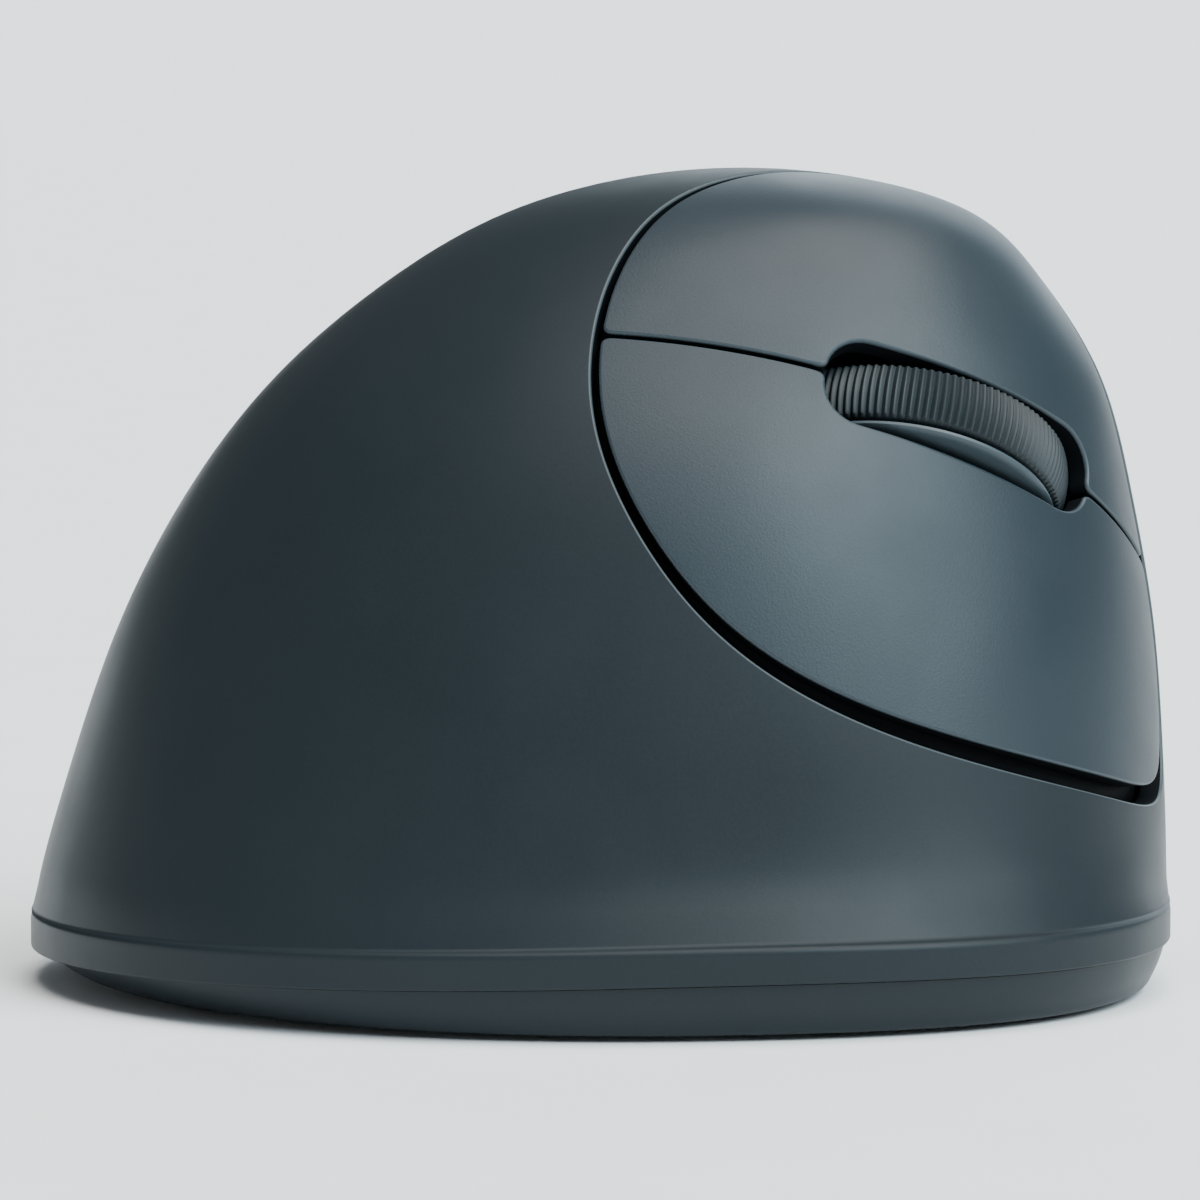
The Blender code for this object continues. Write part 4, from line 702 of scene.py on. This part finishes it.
def finish(name, colour, roughness, metallic=0.0, grain=0.0, grain_size=0.25, spread=0.05,
           variation=0.08, edge_rub_and_highlight=0.0, coat=0.0, specular=0.5, transmission=0.0):
    """A moulded or machined surface: cloudy colour, fine grain, uneven roughness, lightened edges.

    grain is the bump's strength and grain_size its grains' size in millimetres; spread is how far
    the roughness varies, and variation is how far the colour does. Lightening the pointed edges
    stands partly for rubbed edges and partly for a painted highlight.
    """
    made = bpy.data.materials.new("look_" + name)
    made.use_nodes = True
    tree = made.node_tree
    shader = tree.nodes["Principled BSDF"]
    shader.inputs["Metallic"].default_value = metallic
    shader.inputs["Specular IOR Level"].default_value = specular
    shader.inputs["Coat Weight"].default_value = coat
    shader.inputs["Coat Roughness"].default_value = COAT_ROUGHNESS
    shader.inputs["Transmission Weight"].default_value = transmission
    place = node(tree, "ShaderNodeTexCoord", (-1400, 0))

    def noise(scale, detail, y):
        made_noise = node(tree, "ShaderNodeTexNoise", (-1150, y))
        made_noise.inputs["Scale"].default_value = scale
        made_noise.inputs["Detail"].default_value = detail
        tree.links.new(place.outputs["Object"], made_noise.inputs["Vector"])
        return made_noise.outputs["Fac"]

    def ranged(source, low, high, y, between=NOISE_RANGE):
        made_range = node(tree, "ShaderNodeMapRange", (-900, y))
        start, end = between
        for key, value in (("From Min", start), ("From Max", end), ("To Min", low), ("To Max", high)):
            made_range.inputs[key].default_value = value
        tree.links.new(source, made_range.inputs["Value"])
        return made_range.outputs["Result"]

    def mixed(factor, first, second, place_at):
        made_mix = node(tree, "ShaderNodeMix", place_at, data_type="RGBA")
        tree.links.new(factor, made_mix.inputs["Factor"])
        for key, value in (("A", first), ("B", second)):
            socket = next(s for s in made_mix.inputs if s.name == key and s.type == "RGBA")
            if isinstance(value, tuple):
                socket.default_value = (*value, 1.0)
            else:
                tree.links.new(value, socket)
        return next(s for s in made_mix.outputs if s.type == "RGBA")

    dark = tuple(c * (1 - variation) for c in colour)
    light = tuple(min(1.0, c * (1 + variation)) for c in colour)
    clouds = ranged(noise(CLOUD_SCALE, CLOUD_DETAIL, 300), 0.0, 1.0, 300)
    tone = mixed(clouds, dark, light, (-600, 300))
    fine = noise(1.0 / (grain_size * MM), GRAIN_DETAIL, -300)
    mottled = tuple(min(1.0, c * MOTTLE_LIGHT) for c in colour)
    tone = mixed(ranged(fine, 0.0, MOTTLE, 120), tone, mottled, (-420, 300))
    # Pointed edges are lightened: partly rubbed edges, partly a painted highlight of the light they
    # catch.
    if edge_rub_and_highlight:
        shape = node(tree, "ShaderNodeNewGeometry", (-1150, 700))
        edge = ranged(shape.outputs["Pointiness"], 0.0, edge_rub_and_highlight, 700, RUBBED_AND_HIGHLIT_EDGE)
        rubbed_and_highlit = tuple(min(1.0, RUBBED_AND_HIGHLIT_ADDS + c * RUBBED_AND_HIGHLIT_TIMES) for c in colour)
        tone = mixed(edge, tone, rubbed_and_highlit, (-220, 420))
    tree.links.new(tone, shader.inputs["Base Color"])
    smears = noise(SMEAR_SCALE, SMEAR_DETAIL, -20)
    rough = ranged(smears, roughness - spread, roughness + spread, -20)
    tree.links.new(rough, shader.inputs["Roughness"])
    if grain:
        bump = node(tree, "ShaderNodeBump", (-300, -300))
        bump.inputs["Strength"].default_value = grain
        bump.inputs["Distance"].default_value = BUMP_HEIGHT
        tree.links.new(fine, bump.inputs["Height"])
        tree.links.new(bump.outputs["Normal"], shader.inputs["Normal"])
    return made


LOOKS = {
    "shell": finish("shell", (0.0122, 0.0170, 0.0202), 0.41, grain=0.12, specular=0.15),
    "button": finish("button", (0.0130, 0.0210, 0.0270), 0.40, grain=0.3, grain_size=0.2,
                     specular=0.29),
    "rubber": finish("rubber", (0.0095, 0.0150, 0.0180), 0.50, grain=0.2, specular=0.35),
    "hub": finish("hub", (0.030, 0.044, 0.052), 0.42, grain=0.15, edge_rub_and_highlight=0.2, specular=0.4),
    "frame": finish("frame", (0.012, 0.013, 0.014), 0.55, grain=0.3, edge_rub_and_highlight=0.2),
    "switch": finish("switch", (0.02, 0.02, 0.022), 0.35, edge_rub_and_highlight=0.2),
    "plunger": finish("plunger", (0.45, 0.035, 0.03), 0.35),
    "board": finish("board", (0.012, 0.085, 0.04), 0.4, coat=0.5, variation=0.15),
    "chip": finish("chip", (0.013, 0.013, 0.014), 0.4, grain=0.2, edge_rub_and_highlight=0.2),
    "lens": finish("lens", (0.85, 0.88, 0.9), 0.08, spread=0.02, variation=0.02, transmission=0.85),
    "steel": finish("steel", (0.56, 0.56, 0.57), 0.28, metallic=1.0, grain=0.15, grain_size=0.15),
    "battery": finish("battery", (0.10, 0.10, 0.11), 0.32, metallic=0.6, variation=0.15),
    "glide": finish("glide", (0.62, 0.63, 0.64), 0.38, grain=0.1, variation=0.04),
    "ribbon": finish("ribbon", (0.60, 0.60, 0.58), 0.45, variation=0.06),
}
# Rolled edges along a gap get lighter copies of the shell's and button's looks, a painted highlight;
# the walls below them get the near-black look, a painted shade.
EDGE_HIGHLIGHT_LOOKS = {
    "shell": finish("shell_edge_highlight", (0.040, 0.052, 0.058), 0.4, grain=0.1, specular=0.3),
    "button": finish("button_edge_highlight", (0.030, 0.042, 0.050), 0.4, grain=0.1, specular=0.3),
}
# Near-black look for the walls in the gaps and for the ledge behind them: painted shade.
PAINTED_SHADE_LOOK = finish("painted_shade_inside", (0.003, 0.004, 0.005), 0.7, grain=0.2, specular=0.08)


# ================================================================ shells and buttons
def anticlockwise(loop):
    x, y = loop.T
    return loop if (x * np.roll(y, -1) - y * np.roll(x, -1)).sum() > 0 else loop[::-1]


def build_shells():
    """Casing and keys; gives back the outline of the opening for the finger buttons."""
    opening = anticlockwise(from_face(respaced(button_outline(0.5), EDGE)))[::-1]
    arch = arch_line(THUMB_SEAM / 2)
    palm = softened(np.vstack([arch, rim_arc(arch[-1], arch[0], 1)]), PANEL_CORNER)
    patch("palm_skin", [palm, opening], [SEAM_ROUND, EDGE_ROUND], skin, "shell", "body",
          ("palm_shell",), LOOKS["shell"], crease=True, painted_gaps=(1,))

    arch = arch_line(-THUMB_SEAM / 2)
    panel = softened(np.vstack([arch, rim_arc(arch[-1], arch[0], -1)]), PANEL_CORNER)
    ends = THUMB_KEYS["back_button"][0] - THUMB_GAP, THUMB_KEYS["forward_button"][1] + THUMB_GAP
    hole = rounded_rectangle(ends, (THUMB_Z[0] - THUMB_GAP, THUMB_Z[1] + THUMB_GAP),
                             THUMB_CORNER + THUMB_GAP)
    hole = anticlockwise(from_side(softened(hole, KEY_CORNER)))[::-1]
    patch("thumb_skin", [panel, hole], [SEAM_ROUND, EDGE_ROUND], skin, "shell", "body",
          ("thumb_shell",), LOOKS["shell"], crease=True)

    def proud(uv, band=None):
        return skin(uv, band) - (THUMB_PROUD, 0.0, 0.0)
    for name, y in THUMB_KEYS.items():
        key = softened(rounded_rectangle(y, THUMB_Z, THUMB_CORNER), KEY_CORNER)
        patch(name + "_cap", [anticlockwise(from_side(key))], [KEY_ROUND], proud, "button", name,
              (name,), LOOKS["button"])

    for name, above in (("index_button", True), ("middle_button", False)):
        outline = button_loop(above)
        rolls = EDGE_ROUND + (SLOT_ROUND - EDGE_ROUND) * near_slot(outline)
        patch(name + "_cap", [from_face(outline)], [rolls], skin, "button", name, (name,),
              LOOKS["button"], painted_gaps=(0,))
    return opening


def build_base():
    """The tray under the seam, with its openings cut out."""
    columns, rows = BASE_COLUMNS, BASE_ROWS
    angles = np.arange(columns) * math.tau / columns
    step, heel_share = 1e-4, np.clip(-np.sin(angles), 0, 1) ** 2

    def rim(at):
        return skin(DISC * np.column_stack([np.cos(at), np.sin(at)]), np.ones(len(at), bool))[:, :2]
    along = rim(angles + step) - rim(angles - step)
    out = unit(np.stack([along[:, 1], -along[:, 0]], -1))

    def ring(z, inset, heel):
        across = rim(angles) - out * (inset + heel * heel_share)[:, None]
        return np.column_stack([across, np.broadcast_to(z, columns)])
    foot = rim_at(angles) - BAND_HEIGHT
    lip, tongue_top = foot - SEEN_SEAM, foot + TONGUE_RISE - SEAM
    side = np.array([ring(lip, LIP_INSET, LIP_INSET)] + [ring(*row) for row in BASE_SIDE])
    knots = np.arange(len(side), dtype=float)
    flat = side.reshape(len(side), -1)
    fine = spline_rows(knots, flat, natural_bends(knots, flat), np.linspace(knots[-1], 0, rows))
    rings = list(fine.reshape(rows, columns, 3))
    rings += [ring(lip, TONGUE_INSET, TONGUE_HEEL), ring(tongue_top, TONGUE_INSET, TONGUE_HEEL),
              ring(tongue_top, TONGUE_INSET + TONGUE_WALL, TONGUE_HEEL),
              ring(BASE_Z + FLOOR, FLOOR_INSET, FLOOR_INSET)]
    last = (len(rings) - 1) * columns
    faces = [tuple(reversed(range(columns))), tuple(last + np.arange(columns))]
    for a in range(0, last, columns):
        b = a + columns
        faces += [(a + k, a + (k + 1) % columns, b + (k + 1) % columns, b + k)
                  for k in range(columns)]
    base = make_mesh("base_tray", np.vstack(rings), faces, None, "shell", "body", ("base_plate",),
                     LOOKS["shell"])
    outward(base)
    door = rectangle(sum(DOOR_X) / 2, sum(DOOR_Y) / 2, (DOOR_X[1] - DOOR_X[0]) / 2 + DOOR_GAP,
                     (DOOR_Y[1] - DOOR_Y[0]) / 2 + DOOR_GAP, DOOR_CORNER)
    windows = (door, rectangle(*SENSOR_AT, *SENSOR_WINDOW), rectangle(*POWER_AT, *POWER_WINDOW),
               circle(*DPI_AT, DPI_RADIUS + SEAM), rectangle(*RECEIVER_AT, *RECEIVER_WINDOW))
    for outline in windows:
        cut(base, prism(outline, *THROUGH))
    for at in CASE_SCREWS:
        cut(base, prism(circle(*at, SCREW_HOLE), THROUGH[0], BASE_Z + SCREW_HOLE_DEPTH))
    outward(base, BASE_SHARP_EDGE)
    # The flat underside meets its sloping side at a clear edge, however shallow the slope is.
    underside = {key for face in base.data.polygons if face.normal.z < UNDERSIDE
                 for key in face.edge_keys}
    for edge in base.data.edges:
        edge.use_edge_sharp |= edge.key in underside
    base.data.materials.clear()
    base.data.materials.append(LOOKS["shell"])


# ================================================================ scroll wheel
def build_wheel():
    """The ribbed tread and its hub. The near flank is the lower one, which the slot shows."""
    place = across_face(WHEEL_P, 0, WHEEL_N)
    low, high = TREAD_Q
    q = np.linspace(low, high, TREAD_ROWS)
    middle, half = (low + high) / 2, (high - low) / 2
    aside = np.abs(q - middle)
    edge = np.clip((aside - (half - TREAD_SHOULDER)) / TREAD_SHOULDER, 0, 1)
    shoulder = TREAD_SHOULDER * (1 - np.sqrt(1 - edge**2))
    tread = WHEEL_RADIUS - TREAD_CROWN * (aside / half) ** 2 - shoulder
    profile = [(r, z) for r, z in zip(tread, q)] + [(TREAD_INNER, high), (TREAD_INNER, low)]

    def ribs(angle, radius):
        wave = 0.5 + 0.5 * np.cos(RIB_COUNT * angle)
        return RIB_DEPTH * (1 - wave**RIB_POWER) * (radius > RIBS_FROM)
    turned("wheel_tread", profile, place, RIB_COUNT * RIB_POINTS, "rubber", "scroll_wheel",
           ("wheel_tyre",), LOOKS["rubber"], ribs)
    hub = FAR_FLANK + tuple((r, -z) for r, z in reversed(NEAR_FLANK))
    turned("wheel_core", hub, place, HUB_COLUMNS, "hub", "scroll_wheel", ("wheel_hub",),
           LOOKS["hub"])


opening = build_shells()
build_base()
build_wheel()
# A ledge behind the gap, so that no light shows through it; its near-black look is a painted shade.
swept("inner_ledge", opening[::2], skin, LEDGE_PROFILE, "shell", "body", PAINTED_SHADE_LOOK)

# Every CAD node gets the look of its own slot.
for name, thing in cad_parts.items():
    slot = thing.data.materials[0].name.split(".")[0] if thing.data.materials else ""
    if slot in LOOKS:
        thing.data.materials[0] = LOOKS[slot]
    else:
        print("no look for", name, slot)


# ================================================================ floor, light and camera
# The floor is flat for some metres, in metres here, and then sweeps up to hide its far edge.
FLOOR_RINGS, FLOOR_COLUMNS = (0.2, 0.6, 1.5, 3.0, 4.0, 6.0, 8.0, 10.0, 12.0, 15.0, 18.0, 22.0), 96
FLAT_FLOOR, SWEEP = 3.0, 0.006
ROOM_COLOUR, ROOM_LIGHT = (0.86, 0.94, 1.0), 0.20
SUNS = (                 # name, azimuth, elevation, strength, spread and colour
    ("key", 56.0, 38.0, 4.3, 45.0, (0.76, 0.93, 1.0)),
    ("overhead", 60.0, 76.0, 3.9, 56.0, (1.0, 1.0, 0.98)),
    ("back", 168.0, 24.0, 1.0, 40.0, (0.78, 0.92, 1.0)),
)
# The camera is on a circle round the object: azimuth 90 is at +X. Its distance is in metres.
CAMERA_AZIMUTH, CAMERA_ELEVATION, CAMERA_DISTANCE = 95.0, 5.0, 0.54
CAMERA_TARGET, SENSOR_WIDTH, LENS, CAMERA_CLIP = Vector((-1.9, 0, 31.8)), 36.0, 192.6, (0.01, 50.0)


def sun(name, azimuth, elevation, strength, spread, colour):
    """A wide soft source seen from an azimuth (0 is +X, 90 is +Y) and an elevation, in degrees."""
    a, e = math.radians(azimuth), math.radians(elevation)
    way = Vector((math.cos(a) * math.cos(e), math.sin(a) * math.cos(e), math.sin(e)))
    lamp = bpy.data.lights.new(name, "SUN")
    lamp.energy, lamp.color, lamp.angle = strength, colour, math.radians(spread)
    thing = bpy.data.objects.new(name, lamp)
    thing.rotation_euler = (-way).to_track_quat("-Z", "Y").to_euler()
    bpy.context.scene.collection.objects.link(thing)


def build_studio():
    """The pale floor, the room's light and the soft sources."""
    work = bmesh.new()
    centre = work.verts.new((0, 0, 0))
    rows = []
    for radius in FLOOR_RINGS:
        rise = SWEEP * max(0.0, radius - FLAT_FLOOR) ** 2
        turns = [k * math.tau / FLOOR_COLUMNS for k in range(FLOOR_COLUMNS)]
        rows.append([work.verts.new((radius * math.cos(a), radius * math.sin(a), rise))
                     for a in turns])
    for k in range(FLOOR_COLUMNS):
        m = (k + 1) % FLOOR_COLUMNS
        work.faces.new((centre, rows[0][k], rows[0][m]))
        for inner, outer in zip(rows, rows[1:]):
            work.faces.new((inner[k], outer[k], outer[m], inner[m]))
    mesh = bpy.data.meshes.new("floor")
    work.to_mesh(mesh)
    work.free()
    mesh.shade_smooth()
    floor = bpy.data.objects.new("floor", mesh)
    bpy.context.scene.collection.objects.link(floor)
    mesh.materials.append(finish("floor", (0.95, 0.95, 0.95), 0.7, variation=0.015, specular=0.2))

    world = bpy.data.worlds.new("studio")
    bpy.context.scene.world = world
    world.use_nodes = True
    room = world.node_tree.nodes["Background"]
    room.inputs["Color"].default_value = (*ROOM_COLOUR, 1.0)
    room.inputs["Strength"].default_value = ROOM_LIGHT
    for lamp in SUNS:
        sun(*lamp)


def build_camera():
    """The photograph's view."""
    azimuth, elevation = math.radians(CAMERA_AZIMUTH), math.radians(CAMERA_ELEVATION)
    back = Vector((math.sin(azimuth) * math.cos(elevation), -math.cos(azimuth) * math.cos(elevation),
                   math.sin(elevation)))
    camera = bpy.data.cameras.new("camera")
    camera.sensor_width, camera.lens = SENSOR_WIDTH, LENS
    camera.clip_start, camera.clip_end = CAMERA_CLIP
    thing = bpy.data.objects.new("camera", camera)
    thing.location = CAMERA_TARGET * MM + back * CAMERA_DISTANCE
    thing.rotation_euler = (-back).to_track_quat("-Z", "Y").to_euler()
    bpy.context.scene.collection.objects.link(thing)
    bpy.context.scene.camera = thing


build_studio()
build_camera()
